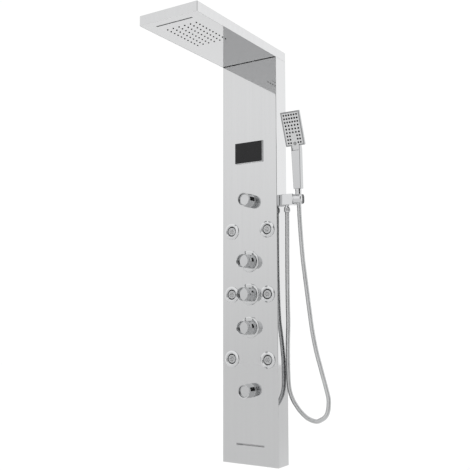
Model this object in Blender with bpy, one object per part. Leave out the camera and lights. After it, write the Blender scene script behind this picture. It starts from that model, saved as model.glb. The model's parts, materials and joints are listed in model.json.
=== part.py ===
"""Wall-hung rainfall shower column: a folded steel column with a forward-reaching head, valves, body jets,
a tub spout and a hand shower on a flexible hose.

Frame: the wall is the plane y = 0 and the column stands in front of it (-Y), +X is to the right of
somebody who looks at the front, +Z is up. The origin is the middle of the upper wall bracket's back
face. Heights in the constants are measured from the column's foot.
"""

from math import cos, pi, radians, sin

import bmesh
import bpy
from mathutils import Matrix, Vector

# ---- driving dimensions, in metres -------------------------------------------------------------------
WIDTH = 0.200
HEIGHT = 1.298
DEPTH = 0.062
HEAD_REACH = 0.427
HEAD_HEIGHT = 0.0295
SHEET = 0.0015
GAP = 0.0003
HANG_HEIGHT = 1.200
LOWER_HANG_HEIGHT = 0.130

# Front controls, one above the other on the centre line
CONTROL_MID = 0.520
LEVER_PITCH = 0.103
END_KNOB_OFFSET = 0.296
KNOB_RADIUS = 0.022
END_KNOB_REACH = 0.030
LEVER_KNOB_REACH = 0.034
FLANGE_RADIUS = 0.034
FLANGE_THICK = 0.003
SPINDLE_RADIUS = 0.005
COLLAR_RADIUS = 0.0125
PIN_RADIUS = 0.003
PIN_TIP = 0.031
PIN_ROOT = 0.0165
PIN_REACH = 0.027
RECESS_RADIUS = 0.015
RECESS_DEPTH = 0.010
SPINDLE_DEPTH = 0.015
SPINDLE_BORE_DEPTH = 0.017
COLLAR_REACH = 0.006

# Body jets
JET_X = 0.065
JET_PITCH = 0.201
JET_RADIUS = 0.026
JET_REACH = 0.005
JET_BALL = 0.0145
JET_TAIL_RADIUS = 0.0175
JET_TAIL_DEPTH = 0.030
JET_BORE_DEPTH = 0.027
JET_BALL_DEPTH = -0.0060
BALL_RINGS = 5

# Rain plate
RAIN_COLUMNS = 6
RAIN_ROWS = 10
RAIN_PITCH_X = 0.0202
RAIN_PITCH_Y = 0.0164
RAIN_MIDDLE = 0.287
RAIN_HOLE = 0.0025
NIPPLE_RADIUS = 0.0021
NIPPLE_STAND = 0.0015
WATERFALL_WIDTH = 0.126
WATERFALL_DEPTH = 0.008
WATERFALL_REACH = 0.397
WATERFALL_WALL = 0.004
JUNCTION_GAP = 0.0045
MAT_HALF_X = 0.058
MAT_HALF_Y = 0.081
MAT_THICK = 0.002
CHAMBER_HEIGHT = 0.0135
CHAMBER_WALL = 0.0035
MOUTH_HEIGHT = 0.014

# Display and tub spout
DISPLAY_WIDTH = 0.103
DISPLAY_HEIGHT = 0.069
DISPLAY_MID = 0.9715
DISPLAY_STAND = 0.004
DISPLAY_RIM = 0.0015
SPOUT_WIDTH = 0.100
SPOUT_HEIGHT = 0.006
SPOUT_MID = 0.0595

# Outlet block, cradle and hand shower
HOLDER_MID = 0.812
HOLDER_Y = -0.029
HOLDER_HEIGHT = 0.034
HOLDER_DEPTH = 0.030
HOLDER_END = 0.1452
CRADLE_X = 0.1595
CRADLE_RADIUS = 0.017
CRADLE_END = 0.1745
CRADLE_SLOT = 0.0150
CONE_CLEAR = 0.0005
PIVOT_RADIUS = 0.005
PIVOT_ROOT = 0.017
PIVOT_HOLE = 0.0021
STUB_RADIUS = 0.0100
NECK_RADIUS = 0.0065
PORT_RADIUS = 0.0105
HANDLE_LEAN = radians(4.0)
SPRAY_LEAN = radians(21.0)
CONE_LOW = -0.0167
CONE_HIGH = 0.0315
CONE_LOW_RADIUS = 0.0090
CONE_HIGH_RADIUS = 0.0105
HANDLE_TOP = 0.156
SPRAY_WIDTH = 0.065
SPRAY_LENGTH = 0.107
SPRAY_THICK = 0.009
SPRAY_BOTTOM = 0.9757
SPRAY_BOTTOM_Y = -0.0483
SPRAY_RIM = 0.004
SPRAY_HOLE = 0.0017
TAB_WIDTH = 0.026
TAB_LENGTH = 0.0135
TAB_RIM = 0.002
FACE_THICK = 0.0016
SPRAY_DEEP = 0.0036
BUTTON_RADIUS = 0.0050
BUTTON_UP = 0.0075
BUTTON_CLEAR = 0.0004
BUTTON_STAND = 0.0015
SPRAY_NIPPLE_STAND = 0.0008
SPRAY_TOP_ROW = 0.0105
SPRAY_ROW_PITCH = 0.0108

# Hose: its diameter, the nuts at its ends and its hand-laid route (x, y, height)
HOSE_DIAMETER = 0.014
OUTLET_X = 0.1185
OUTLET_NUT_TOP = 0.7900
OUTLET_NUT_HEIGHT = 0.017
OUTLET_NUT_RADIUS = 0.010
HOSE_SPACING = 0.028
HOSE_STRAIGHT = 0.034
HOSE_ROUTE = [
    (0.1615, -0.0240, 0.716), (0.1640, -0.0220, 0.669), (0.1672, -0.0200, 0.623), (0.1722, -0.0185, 0.577),
    (0.1775, -0.0170, 0.531), (0.1845, -0.0150, 0.470), (0.1923, -0.0135, 0.410), (0.2035, -0.0120, 0.351),
    (0.2194, -0.0110, 0.292), (0.2358, -0.0100, 0.234), (0.2419, -0.0095, 0.205), (0.2395, -0.0090, 0.175),
    (0.2311, -0.0090, 0.156), (0.2155, -0.0090, 0.1445), (0.1989, -0.0090, 0.139), (0.1723, -0.0090, 0.146),
    (0.1489, -0.0090, 0.1635), (0.1319, -0.0090, 0.183), (0.1190, -0.0090, 0.2035), (0.1108, -0.0097, 0.228),
    (0.1081, -0.0110, 0.257), (0.1077, -0.0121, 0.288), (0.1079, -0.0136, 0.318), (0.1092, -0.0157, 0.349),
    (0.1112, -0.0183, 0.380), (0.1138, -0.0210, 0.411), (0.1160, -0.0240, 0.442), (0.1168, -0.0272, 0.490),
    (0.1173, -0.0285, 0.530), (0.1180, -0.0298, 0.600), (0.1183, -0.0298, 0.660),
]

# Wall brackets, valve bodies and pipes behind the panel
BRACKET_WIDTH = 0.120
VALVE_RADIUS = 0.020
VALVE_DEPTH = 0.0232
MANIFOLD_RADIUS = 0.011
MANIFOLD_Y = -0.0270
PIPE_RADIUS = 0.005
RAIN_PIPE_X = 0.012
JET_PIPE_Y = -0.0250
JET_CROSS_HEIGHT = 0.470
JET_CROSS_FORWARD = 0.021
INLET_X = -0.036
INLET_RADIUS = 0.0105
INLET_BORE = 0.0070
INLET_ARM_RADIUS = 0.0075
INLET_TAIL = 0.040
HOT_INLET_HEIGHT = 0.690
COLD_INLET_HEIGHT = 0.355
HOLDER_STUB_END = 0.0850

FRONT = -DEPTH
HEAD_FRONT = FRONT - HEAD_REACH
RAIN_Y = FRONT - RAIN_MIDDLE
WATERFALL_Y = FRONT - WATERFALL_REACH
VALVE_Y = FRONT + 0.0125


def up(height):
    """World z of a height above the column's foot."""
    return height - HANG_HEIGHT


HEAD_UNDER = up(HEIGHT - HEAD_HEIGHT)
TOP = up(HEIGHT)
PIPE_LEVEL = HEAD_UNDER + 0.0100
OVER_LEVEL = HEAD_UNDER + 0.0235
CONTROL_HEIGHTS = {
    "upper": CONTROL_MID + END_KNOB_OFFSET,
    "hot": CONTROL_MID + LEVER_PITCH,
    "jet": CONTROL_MID,
    "cold": CONTROL_MID - LEVER_PITCH,
    "lower": CONTROL_MID - END_KNOB_OFFSET,
}
JET_PLACES = [(x, CONTROL_MID + k * JET_PITCH) for k in (1, 0, -1) for x in (-JET_X, JET_X)]
RAIN_PLACES = [
    (
        (i - (RAIN_COLUMNS - 1) / 2) * RAIN_PITCH_X,
        RAIN_Y + (j - (RAIN_ROWS - 1) / 2) * RAIN_PITCH_Y,
    )
    for i in range(RAIN_COLUMNS)
    for j in range(RAIN_ROWS)
]
CRADLE_CENTRE = Vector((CRADLE_X, HOLDER_Y, up(HOLDER_MID)))

# Turned profiles are drawn as (radius, distance along local +Z); OUTWARD lays local +Z along -Y, so the
# distance is how far a piece stands out of the column's front.
OUTWARD = Matrix.Rotation(pi / 2, 4, "X")


# ---- materials ---------------------------------------------------------------------------------------
def material(name, colour, roughness, metallic):
    made = bpy.data.materials.new(name)
    made.use_nodes = True
    shader = made.node_tree.nodes["Principled BSDF"]
    shader.inputs["Base Color"].default_value = (*colour, 1.0)
    shader.inputs["Roughness"].default_value = roughness
    shader.inputs["Metallic"].default_value = metallic
    return made


# ---- modelling helpers -------------------------------------------------------------------------------
def add_object(name, bm, finish, matrix=Matrix.Identity(4), smooth=True):
    mesh = bpy.data.meshes.new(name)
    bmesh.ops.recalc_face_normals(bm, faces=bm.faces)
    bm.to_mesh(mesh)
    bm.free()
    mesh.materials.append(finish)
    if smooth:
        mesh.shade_smooth()
        mesh.set_sharp_from_angle(angle=radians(35))
    made = bpy.data.objects.new(name, mesh)
    made.matrix_world = matrix
    bpy.context.scene.collection.objects.link(made)
    return made


def box_mesh(low, high):
    bm = bmesh.new()
    bmesh.ops.create_cube(bm, size=1.0)
    low, high = Vector(low), Vector(high)
    for vert in bm.verts:
        vert.co = Vector((lo + (c + 0.5) * (hi - lo) for lo, hi, c in zip(low, high, vert.co)))
    return bm


def box(name, low, high, finish, matrix=Matrix.Identity(4), round_edges=0.0):
    made = add_object(name, box_mesh(low, high), finish, matrix, smooth=False)
    if round_edges:
        bevel = made.modifiers.new("rounded", "BEVEL")
        bevel.width = round_edges
        bevel.segments = 2
    return made


def turned_mesh(profile, sides):
    """A profile of (radius, z) points spun about z; it closes on itself unless it starts on the axis."""
    bm = bmesh.new()
    verts = [bm.verts.new((radius, 0.0, z)) for radius, z in profile]
    edges = [bm.edges.new(pair) for pair in zip(verts, verts[1:])]
    if profile[0][0] > 0.0:
        edges.append(bm.edges.new((verts[-1], verts[0])))
    bmesh.ops.spin(
        bm, geom=verts + edges, cent=(0, 0, 0), axis=(0, 0, 1), angle=2 * pi, steps=sides, use_merge=True
    )
    bmesh.ops.remove_doubles(bm, verts=bm.verts, dist=1e-6)
    return bm


def turned(name, profile, finish, matrix, sides=20):
    return add_object(name, turned_mesh(profile, sides), finish, matrix)


def rod_profile(radius, low, high):
    return [(0.0, low), (radius, low), (radius, high), (0.0, high)]


def many_rods_mesh(places, radius, low, high, sides):
    """Separate upright prisms, one at each (x, y) place."""
    bm = bmesh.new()
    for x, y in places:
        ring = [
            bm.verts.new((x + radius * cos(2 * pi * k / sides), y + radius * sin(2 * pi * k / sides), low))
            for k in range(sides)
        ]
        foot = bm.faces.new(ring)
        lifted = bmesh.ops.extrude_face_region(bm, geom=[foot])["geom"]
        raised = [item for item in lifted if isinstance(item, bmesh.types.BMVert)]
        bmesh.ops.translate(bm, verts=raised, vec=(0, 0, high - low))
    return bm


def hidden(tool):
    tool.hide_render = True
    tool.display_type = "WIRE"
    return tool


def combine(target, tool, operation):
    """Booleans the tool into the target; the tool itself is a guide and no part of the object."""
    hidden(tool)
    change = target.modifiers.new(tool.name, "BOOLEAN")
    change.operation = operation
    change.solver = "EXACT"
    change.object = tool


def cut(target, tool):
    combine(target, tool, "DIFFERENCE")


def join(target, tool):
    combine(target, tool, "UNION")


def at(x, y, z):
    return Matrix.Translation((x, y, z))


def along(x, y, z, direction):
    """A placement whose local +Z points along a direction."""
    turn = Vector((0, 0, 1)).rotation_difference(Vector(direction)).to_matrix().to_4x4()
    return Matrix.Translation((x, y, z)) @ turn


def smooth_route(points, spacing):
    """Evenly spaced points on a Catmull-Rom curve through the given ones."""
    points = [Vector(p) for p in points]
    ends = [2 * points[0] - points[1]] + points + [2 * points[-1] - points[-2]]
    fine = [points[0]]
    steps = 24
    for a, b, c, d in zip(ends, ends[1:], ends[2:], ends[3:]):
        for k in range(1, steps + 1):
            t = k / steps
            bend = (2 * a - 5 * b + 4 * c - d) * t**2 + (3 * b - a - 3 * c + d) * t**3
            fine.append(0.5 * (2 * b + (c - a) * t + bend))
    lengths = [0.0]
    for a, b in zip(fine, fine[1:]):
        lengths.append(lengths[-1] + (b - a).length)
    count = round(lengths[-1] / spacing)
    route = []
    k = 0
    for n in range(count + 1):
        wanted = lengths[-1] * n / count
        while k < len(fine) - 2 and lengths[k + 1] < wanted:
            k += 1
        share = (wanted - lengths[k]) / (lengths[k + 1] - lengths[k])
        route.append(fine[k].lerp(fine[k + 1], share))
    return route


def tube(name, points, radius, finish, spacing=0.030, resolution=2):
    curve = bpy.data.curves.new(name, "CURVE")
    curve.dimensions = "3D"
    curve.bevel_depth = radius
    curve.bevel_resolution = resolution
    curve.use_fill_caps = True
    curve.materials.append(finish)
    route = smooth_route(points, spacing)
    spline = curve.splines.new("POLY")
    spline.points.add(len(route) - 1)
    for point, place in zip(spline.points, route):
        point.co = (*place, 1.0)
    made = bpy.data.objects.new(name, curve)
    bpy.context.scene.collection.objects.link(made)
    return made


# ---- column, head and what hangs them ----------------------------------------------------------------
def column_panel(steel):
    """Folded channel, open at the back and at the top, closed at the foot."""
    half = WIDTH / 2
    top = HEAD_UNDER - GAP
    panel = box("column_panel", (-half, FRONT, up(0)), (half, 0, top), steel)
    cut(panel, box("column_hollow", (SHEET - half, FRONT + SHEET, up(SHEET)),
                   (half - SHEET, 0.01, top + 0.01), steel))
    for name, height in CONTROL_HEIGHTS.items():
        hole = rod_profile(COLLAR_RADIUS + 0.0005, -0.01, 0.01)
        cut(panel, turned(f"{name}_hole", hole, steel, at(0, FRONT, up(height)) @ OUTWARD, 16))
    for number, (x, height) in enumerate(JET_PLACES, 1):
        hole = rod_profile(JET_TAIL_RADIUS + 0.0005, -0.01, 0.01)
        cut(panel, turned(f"jet_hole_{number}", hole, steel, at(x, FRONT, up(height)) @ OUTWARD, 16))
    window = (DISPLAY_WIDTH / 2 - 0.002, DISPLAY_HEIGHT / 2 - 0.002)
    cut(panel, box("display_window", (-window[0], FRONT - 0.01, up(DISPLAY_MID) - window[1]),
                   (window[0], FRONT + 0.01, up(DISPLAY_MID) + window[1]), steel))
    slot = (SPOUT_WIDTH / 2, SPOUT_HEIGHT / 2)
    cut(panel, box("spout_slot", (-slot[0], FRONT - 0.01, up(SPOUT_MID) - slot[1]),
                   (slot[0], FRONT + 0.01, up(SPOUT_MID) + slot[1]), steel))
    port = rod_profile(PORT_RADIUS, -0.01, 0.01)
    cut(panel, turned("holder_port", port, steel, along(half, HOLDER_Y, up(HOLDER_MID), (1, 0, 0)), 16))
    return panel


def head_shell(steel):
    """Folded box of the head: top, front and long side walls that also cap the column."""
    half = WIDTH / 2
    shell = box("head_shell", (-half, HEAD_FRONT, HEAD_UNDER), (half, 0, TOP), steel)
    cut(shell, box("head_hollow", (SHEET - half, HEAD_FRONT + SHEET, HEAD_UNDER - 0.01),
                   (half - SHEET, 0.01, TOP - SHEET), steel))
    return shell


def rain_plate(steel):
    """Underside of the head, with a hole for each nipple and the slot of the waterfall."""
    half = WIDTH / 2 - SHEET - GAP
    plate = box("rain_plate", (-half, HEAD_FRONT + SHEET + GAP, HEAD_UNDER),
                (half, FRONT - JUNCTION_GAP, HEAD_UNDER + SHEET), steel)
    holes = many_rods_mesh(RAIN_PLACES, RAIN_HOLE, HEAD_UNDER - 0.01, HEAD_UNDER + 0.01, 6)
    cut(plate, add_object("rain_holes", holes, steel, smooth=False))
    reach_x, reach_y = WATERFALL_WIDTH / 2, WATERFALL_DEPTH / 2
    cut(plate, box("waterfall_slot", (-reach_x, WATERFALL_Y - reach_y, HEAD_UNDER - 0.01),
                   (reach_x, WATERFALL_Y + reach_y, HEAD_UNDER + 0.01), steel))
    return plate


def rain_nozzle_mat(rubber):
    """Silicone mat on the plate; its nipples stand through the holes."""
    low = HEAD_UNDER + SHEET + GAP
    mat = box("rain_nozzle_mat", (-MAT_HALF_X, RAIN_Y - MAT_HALF_Y, low),
              (MAT_HALF_X, RAIN_Y + MAT_HALF_Y, low + MAT_THICK), rubber)
    nipples = many_rods_mesh(RAIN_PLACES, NIPPLE_RADIUS, HEAD_UNDER - NIPPLE_STAND, low + MAT_THICK / 2, 6)
    join(mat, add_object("rain_nipples", nipples, rubber, smooth=False))


def rain_chamber(plastic):
    """Water box over the mat, open below, with the inlet stub on its back wall."""
    low = HEAD_UNDER + SHEET + GAP
    reach_x, reach_y = MAT_HALF_X + 0.004, MAT_HALF_Y + 0.004
    chamber = box("rain_chamber", (-reach_x, RAIN_Y - reach_y, low),
                  (reach_x, RAIN_Y + reach_y, low + CHAMBER_HEIGHT), plastic)
    stub = turned("chamber_stub", rod_profile(PIPE_RADIUS + 0.002, 0, 0.014), plastic,
                  along(RAIN_PIPE_X, RAIN_Y + reach_y - 0.002, PIPE_LEVEL, (0, 1, 0)), 12)
    join(chamber, stub)
    inner_x, inner_y = reach_x - CHAMBER_WALL, reach_y - CHAMBER_WALL
    cut(chamber, box("chamber_hollow", (-inner_x, RAIN_Y - inner_y, low - 0.01),
                     (inner_x, RAIN_Y + inner_y, low + CHAMBER_HEIGHT - 0.002), plastic))


def waterfall_outlet(plastic):
    """Flat spout behind the slot, open below, fed from its back wall."""
    low = HEAD_UNDER + SHEET + GAP
    inner_x, inner_y = WATERFALL_WIDTH / 2, WATERFALL_DEPTH / 2
    reach_x, reach_y = inner_x + WATERFALL_WALL, inner_y + WATERFALL_WALL
    outlet = box("waterfall_outlet", (-reach_x, WATERFALL_Y - reach_y, low),
                 (reach_x, WATERFALL_Y + reach_y, TOP - SHEET - 0.002), plastic)
    cut(outlet, box("waterfall_mouth", (-inner_x, WATERFALL_Y - inner_y, low - 0.01),
                    (inner_x, WATERFALL_Y + inner_y, low + MOUTH_HEIGHT), plastic))


def hook_bar(name, height, low, high, steel):
    """Strip across the channel with a lip that hooks over the wall bracket's tongue."""
    half = WIDTH / 2 - SHEET - GAP
    z = up(height)
    bar = box(name, (-half, -0.0125, z + low), (half, -0.0110, z + high), steel)
    reach = BRACKET_WIDTH / 2 + 0.010
    join(bar, box(f"{name}_shelf", (-reach, -0.0120, z + 0.0325), (reach, -0.0040, z + 0.0340), steel))
    join(bar, box(f"{name}_lip", (-reach, -0.0055, z + 0.0190), (reach, -0.0040, z + 0.0335), steel))
    for side in (-1, 1):
        near, far = sorted((side * (half - 0.0015), side * half))
        join(bar, box(f"{name}_wing_{side + 2}", (near, -0.0270, z + low), (far, -0.0115, z + high), steel))


def wall_bracket(name, height, steel):
    """Z-shaped strip screwed to the wall, with an upward tongue and two screw holes."""
    half = BRACKET_WIDTH / 2
    z = up(height)
    bracket = box(name, (-half, -0.0020, z - 0.0250), (half, 0, z + 0.0170), steel)
    join(bracket, box(f"{name}_shelf", (-half, -0.0085, z + 0.0150), (half, -0.0010, z + 0.0170), steel))
    join(bracket, box(f"{name}_tongue", (-half, -0.0085, z + 0.0155), (half, -0.0065, z + 0.0310), steel))
    for side in (-1, 1):
        hole = turned(f"{name}_hole_{side + 2}", rod_profile(0.003, -0.01, 0.01), steel,
                      at(side * (half - 0.018), 0, z - 0.006) @ OUTWARD, 12)
        cut(bracket, hole)


# ---- display and spout -------------------------------------------------------------------------------
def display(chrome, plastic_black):
    mid = up(DISPLAY_MID)
    half_x, half_z = DISPLAY_WIDTH / 2, DISPLAY_HEIGHT / 2
    housing = box("display_housing", (-half_x, FRONT - DISPLAY_STAND, mid - half_z),
                  (half_x, FRONT - GAP, mid + half_z), chrome)
    neck_x, neck_z = half_x - 0.0025, half_z - 0.0025
    join(housing, box("display_neck", (-neck_x, FRONT - 0.001, mid - neck_z),
                      (neck_x, FRONT + 0.018, mid + neck_z), chrome))
    seat_x, seat_z = half_x - DISPLAY_RIM, half_z - DISPLAY_RIM
    cut(housing, box("display_seat", (-seat_x, FRONT - 0.01, mid - seat_z),
                     (seat_x, FRONT - DISPLAY_STAND + 0.0018, mid + seat_z), chrome))
    box("display_glass", (-seat_x + GAP, FRONT - DISPLAY_STAND, mid - seat_z + GAP),
        (seat_x - GAP, FRONT - DISPLAY_STAND + 0.0015, mid + seat_z - GAP), plastic_black)


def spout_outlet(steel):
    """Flat tub spout: a box behind the panel with a nose in the slot."""
    mid = up(SPOUT_MID)
    half_x, half_z = SPOUT_WIDTH / 2, SPOUT_HEIGHT / 2
    outlet = box("spout_outlet", (-half_x - 0.006, FRONT + SHEET + GAP, mid - 0.009),
                 (half_x + 0.006, FRONT + 0.022, mid + 0.009), steel)
    join(outlet, box("spout_nose", (-half_x + GAP, FRONT - 0.001, mid - half_z + GAP),
                     (half_x - GAP, FRONT + 0.004, mid + half_z - GAP), steel))
    cut(outlet, box("spout_mouth", (-half_x + 0.0015, FRONT - 0.01, mid - half_z + 0.0012),
                    (half_x - 0.0015, FRONT + 0.018, mid + half_z - 0.0012), steel))


# ---- valves, knobs and levers ------------------------------------------------------------------------
def valve(name, height, brass):
    """Cartridge body behind the panel; its collar passes through and its bore takes the spindle."""
    bore = SPINDLE_RADIUS + 0.0004
    profile = [
        (0.0, -SPINDLE_BORE_DEPTH), (bore, -SPINDLE_BORE_DEPTH), (bore, COLLAR_REACH),
        (COLLAR_RADIUS, COLLAR_REACH), (COLLAR_RADIUS, -SHEET - GAP), (VALVE_RADIUS, -SHEET - GAP),
        (VALVE_RADIUS, -VALVE_DEPTH), (0.0, -VALVE_DEPTH),
    ]
    turned(name, profile, brass, at(0, FRONT, up(height)) @ OUTWARD, 16)


def knob(name, height, base, reach, chrome):
    """Round knob with its spindle; the recess in its back clears the valve's collar."""
    profile = [
        (0.0, reach), (KNOB_RADIUS - 0.0015, reach), (KNOB_RADIUS, reach - 0.0015), (KNOB_RADIUS, base),
        (RECESS_RADIUS, base), (RECESS_RADIUS, RECESS_DEPTH), (SPINDLE_RADIUS, RECESS_DEPTH),
        (SPINDLE_RADIUS, -SPINDLE_DEPTH), (0.0, -SPINDLE_DEPTH),
    ]
    return turned(name, profile, chrome, at(0, FRONT, up(height)) @ OUTWARD)


def lever_pin(name, height, head, chrome):
    """Small radial pin screwed into the knob's rim, pointing up when the valve is shut."""
    y = FRONT - PIN_REACH
    place = at(0, y, up(height))
    hole = rod_profile(PIN_RADIUS + GAP, PIN_ROOT - GAP, 0.04)
    cut(head, turned(f"{name}_hole", hole, chrome, place, 12))
    profile = [
        (0.0, PIN_ROOT), (PIN_RADIUS, PIN_ROOT), (PIN_RADIUS, PIN_TIP - 0.001),
        (PIN_RADIUS - 0.001, PIN_TIP), (0.0, PIN_TIP),
    ]
    pin = turned(name, profile, chrome, place, 12)
    bring_to_axis(pin, (0, FRONT, up(height)))


def bring_to_axis(piece, place):
    """Moves a piece's origin onto its joint's axis and leaves its shape where it is."""
    offset = piece.matrix_world.translation - Vector(place)
    turn = piece.matrix_world.to_3x3().inverted()
    piece.data.transform(Matrix.Translation(turn @ offset))
    piece.matrix_world.translation = Vector(place)


def flange(name, height, chrome):
    profile = [
        (COLLAR_RADIUS + 0.0005, GAP), (FLANGE_RADIUS, GAP), (FLANGE_RADIUS, FLANGE_THICK - 0.0008),
        (FLANGE_RADIUS - 0.0015, FLANGE_THICK + GAP), (COLLAR_RADIUS + 0.0005, FLANGE_THICK + GAP),
    ]
    turned(name, profile, chrome, at(0, FRONT, up(height)) @ OUTWARD)


# ---- body jets ---------------------------------------------------------------------------------------
def body_jet(number, x, height, chrome, plastic):
    """Collar with a threaded tail behind the panel, and the ball nozzle that tilts in it."""
    place = at(x, FRONT, up(height)) @ OUTWARD
    bore = JET_BALL + 0.0004
    profile = [
        (0.0, -JET_TAIL_DEPTH), (JET_TAIL_RADIUS, -JET_TAIL_DEPTH), (JET_TAIL_RADIUS, GAP),
        (JET_RADIUS, GAP), (JET_RADIUS, JET_REACH - 0.002), (JET_RADIUS - 0.004, JET_REACH),
        (bore + 0.002, JET_REACH - 0.0005), (bore, JET_REACH - 0.002), (bore, -JET_BORE_DEPTH),
        (0.0, -JET_BORE_DEPTH),
    ]
    turned(f"jet_body_{number}", profile, chrome, place, 16)
    ball = []
    front, back = radians(60), radians(-50)
    for k in range(BALL_RINGS):
        angle = front + (back - front) * k / (BALL_RINGS - 1)
        ball.append((JET_BALL * cos(angle), JET_BALL_DEPTH + JET_BALL * sin(angle)))
    ball = [(0.0, ball[0][1])] + ball + [(0.0, ball[-1][1])]
    nozzle = turned(f"jet_nozzle_{number}", ball, plastic, place, 12)
    bring_to_axis(nozzle, (x, FRONT - JET_BALL_DEPTH, up(height)))


# ---- water ways behind the panel ---------------------------------------------------------------------
def water_ways(brass, plastic):
    low, high = up(CONTROL_HEIGHTS["lower"] - 0.02), up(CONTROL_HEIGHTS["upper"] + 0.034)
    turned("mixing_manifold", rod_profile(MANIFOLD_RADIUS, low, high), brass, at(0, MANIFOLD_Y, 0), 16)

    low, high = up(CONTROL_MID - JET_PITCH - 0.015), up(CONTROL_MID + JET_PITCH + 0.015)
    pipes = turned("jet_pipes", rod_profile(PIPE_RADIUS, low, high), plastic, at(-JET_X, JET_PIPE_Y, 0), 12)
    rise = rod_profile(PIPE_RADIUS, low, high)
    join(pipes, turned("jet_pipe_right", rise, plastic, at(JET_X, JET_PIPE_Y, 0), 12))
    cross_z = up(JET_CROSS_HEIGHT)
    join(pipes, turned("jet_cross", rod_profile(PIPE_RADIUS - 0.001, -JET_X, JET_X), plastic,
                       along(0, JET_PIPE_Y - JET_CROSS_FORWARD, cross_z, (1, 0, 0)), 12))
    link = rod_profile(PIPE_RADIUS - 0.0005, -0.002, JET_CROSS_FORWARD + 0.003)
    for side in (-1, 1):
        join(pipes, turned(f"jet_link_{side + 2}", link, plastic,
                           along(side * (JET_X - 0.0012), JET_PIPE_Y, cross_z, (0, -1, 0)), 12))

    for name, height in (("hot_inlet", HOT_INLET_HEIGHT), ("cold_inlet", COLD_INLET_HEIGHT)):
        supply_inlet(name, height, brass)

    above = CONTROL_HEIGHTS["upper"] + VALVE_RADIUS + 0.001
    above_diverter = [
        (VALVE_Y, up(above)), (VALVE_Y, up(above + 0.02)), (-0.040, up(above + 0.06)),
        (MANIFOLD_Y, up(above + 0.10)), (MANIFOLD_Y, up(1.10)),
    ]
    to_rain = [
        (MANIFOLD_Y, up(1.22)), (MANIFOLD_Y - 0.004, PIPE_LEVEL - 0.022),
        (MANIFOLD_Y - 0.022, PIPE_LEVEL - 0.003), (MANIFOLD_Y - 0.045, PIPE_LEVEL),
        (RAIN_Y + MAT_HALF_Y + 0.0165, PIPE_LEVEL),
    ]
    to_waterfall = [
        (MANIFOLD_Y, up(1.225)), (MANIFOLD_Y - 0.005, OVER_LEVEL - 0.024),
        (MANIFOLD_Y - 0.024, OVER_LEVEL - 0.004), (MANIFOLD_Y - 0.050, OVER_LEVEL), (-0.20, OVER_LEVEL),
        (-0.35, OVER_LEVEL), (WATERFALL_Y + WATERFALL_DEPTH / 2 + WATERFALL_WALL + 0.0005, OVER_LEVEL),
    ]
    rain_way = [(RAIN_PIPE_X, y, z) for y, z in above_diverter + to_rain]
    waterfall_way = [(-RAIN_PIPE_X, y, z) for y, z in above_diverter + to_waterfall]
    tube("rain_pipe", rain_way, PIPE_RADIUS, plastic)
    tube("waterfall_pipe", waterfall_way, PIPE_RADIUS - 0.001, plastic)
    tube("hand_pipe", [
        (VALVE_RADIUS + 0.001, VALVE_Y, up(HOLDER_MID)), (0.030, VALVE_Y, up(HOLDER_MID)),
        (0.042, VALVE_Y + 0.004, up(HOLDER_MID)), (0.058, HOLDER_Y - 0.004, up(HOLDER_MID)),
        (0.072, HOLDER_Y, up(HOLDER_MID)), (HOLDER_STUB_END - 2 * GAP, HOLDER_Y, up(HOLDER_MID)),
    ], PIPE_RADIUS, plastic, spacing=0.006)
    below = CONTROL_HEIGHTS["lower"] - VALVE_RADIUS - 0.001
    tube("spout_pipe", [
        (0, VALVE_Y, up(below)), (0, VALVE_Y, up(below - 0.04)), (0, VALVE_Y, up(SPOUT_MID + 0.05)),
        (0, VALVE_Y, up(SPOUT_MID + 0.0093)),
    ], PIPE_RADIUS, plastic, spacing=0.04)


def supply_inlet(name, height, brass):
    """Elbow from the manifold with a threaded tail that points down, hollow from below."""
    place = at(INLET_X, MANIFOLD_Y, up(height))
    inlet = turned(name, rod_profile(INLET_RADIUS, -INLET_TAIL, 0.008), brass, place, 16)
    arm = rod_profile(INLET_ARM_RADIUS, MANIFOLD_RADIUS + GAP, -INLET_X)
    join(inlet, turned(f"{name}_arm", arm, brass, along(0, MANIFOLD_Y, up(height), (-1, 0, 0)), 12))
    bore = rod_profile(INLET_BORE, -INLET_TAIL - 0.02, -0.004)
    cut(inlet, turned(f"{name}_bore", bore, brass, place, 12))


# ---- outlet block, cradle, hand shower and hose ------------------------------------------------------
def holder(chrome, brass):
    side = WIDTH / 2
    mid = up(HOLDER_MID)
    half_y, half_z = HOLDER_DEPTH / 2, HOLDER_HEIGHT / 2
    block = box("holder_block", (side + GAP, HOLDER_Y - half_y, mid - half_z),
                (HOLDER_END, HOLDER_Y + half_y, mid + half_z), chrome, round_edges=0.002)
    stub = rod_profile(STUB_RADIUS, HOLDER_STUB_END - side, 0.004)
    join(block, turned("holder_stub", stub, chrome, along(side, HOLDER_Y, mid, (1, 0, 0)), 16))
    neck = rod_profile(NECK_RADIUS, OUTLET_NUT_TOP + GAP - HOLDER_MID, -0.010)
    join(block, turned("holder_neck", neck, chrome, at(OUTLET_X, HOLDER_Y, mid), 16))
    root = HOLDER_END - PIVOT_ROOT - side
    socket = rod_profile(PIVOT_RADIUS + GAP, root - 0.001, HOLDER_END + 0.01 - side)
    cut(block, turned("pivot_socket", socket, chrome, along(side, HOLDER_Y, mid, (1, 0, 0)), 16))
    inward = along(side, HOLDER_Y, mid, (-1, 0, 0))
    hexagon = many_rods_mesh([(0, 0)], 0.0150, SHEET + GAP, 0.0100, 6)
    nut = add_object("holder_nut", hexagon, brass, inward, smooth=False)
    cut(nut, turned("holder_nut_bore", rod_profile(PORT_RADIUS, -0.01, 0.02), brass, inward, 16))


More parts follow.
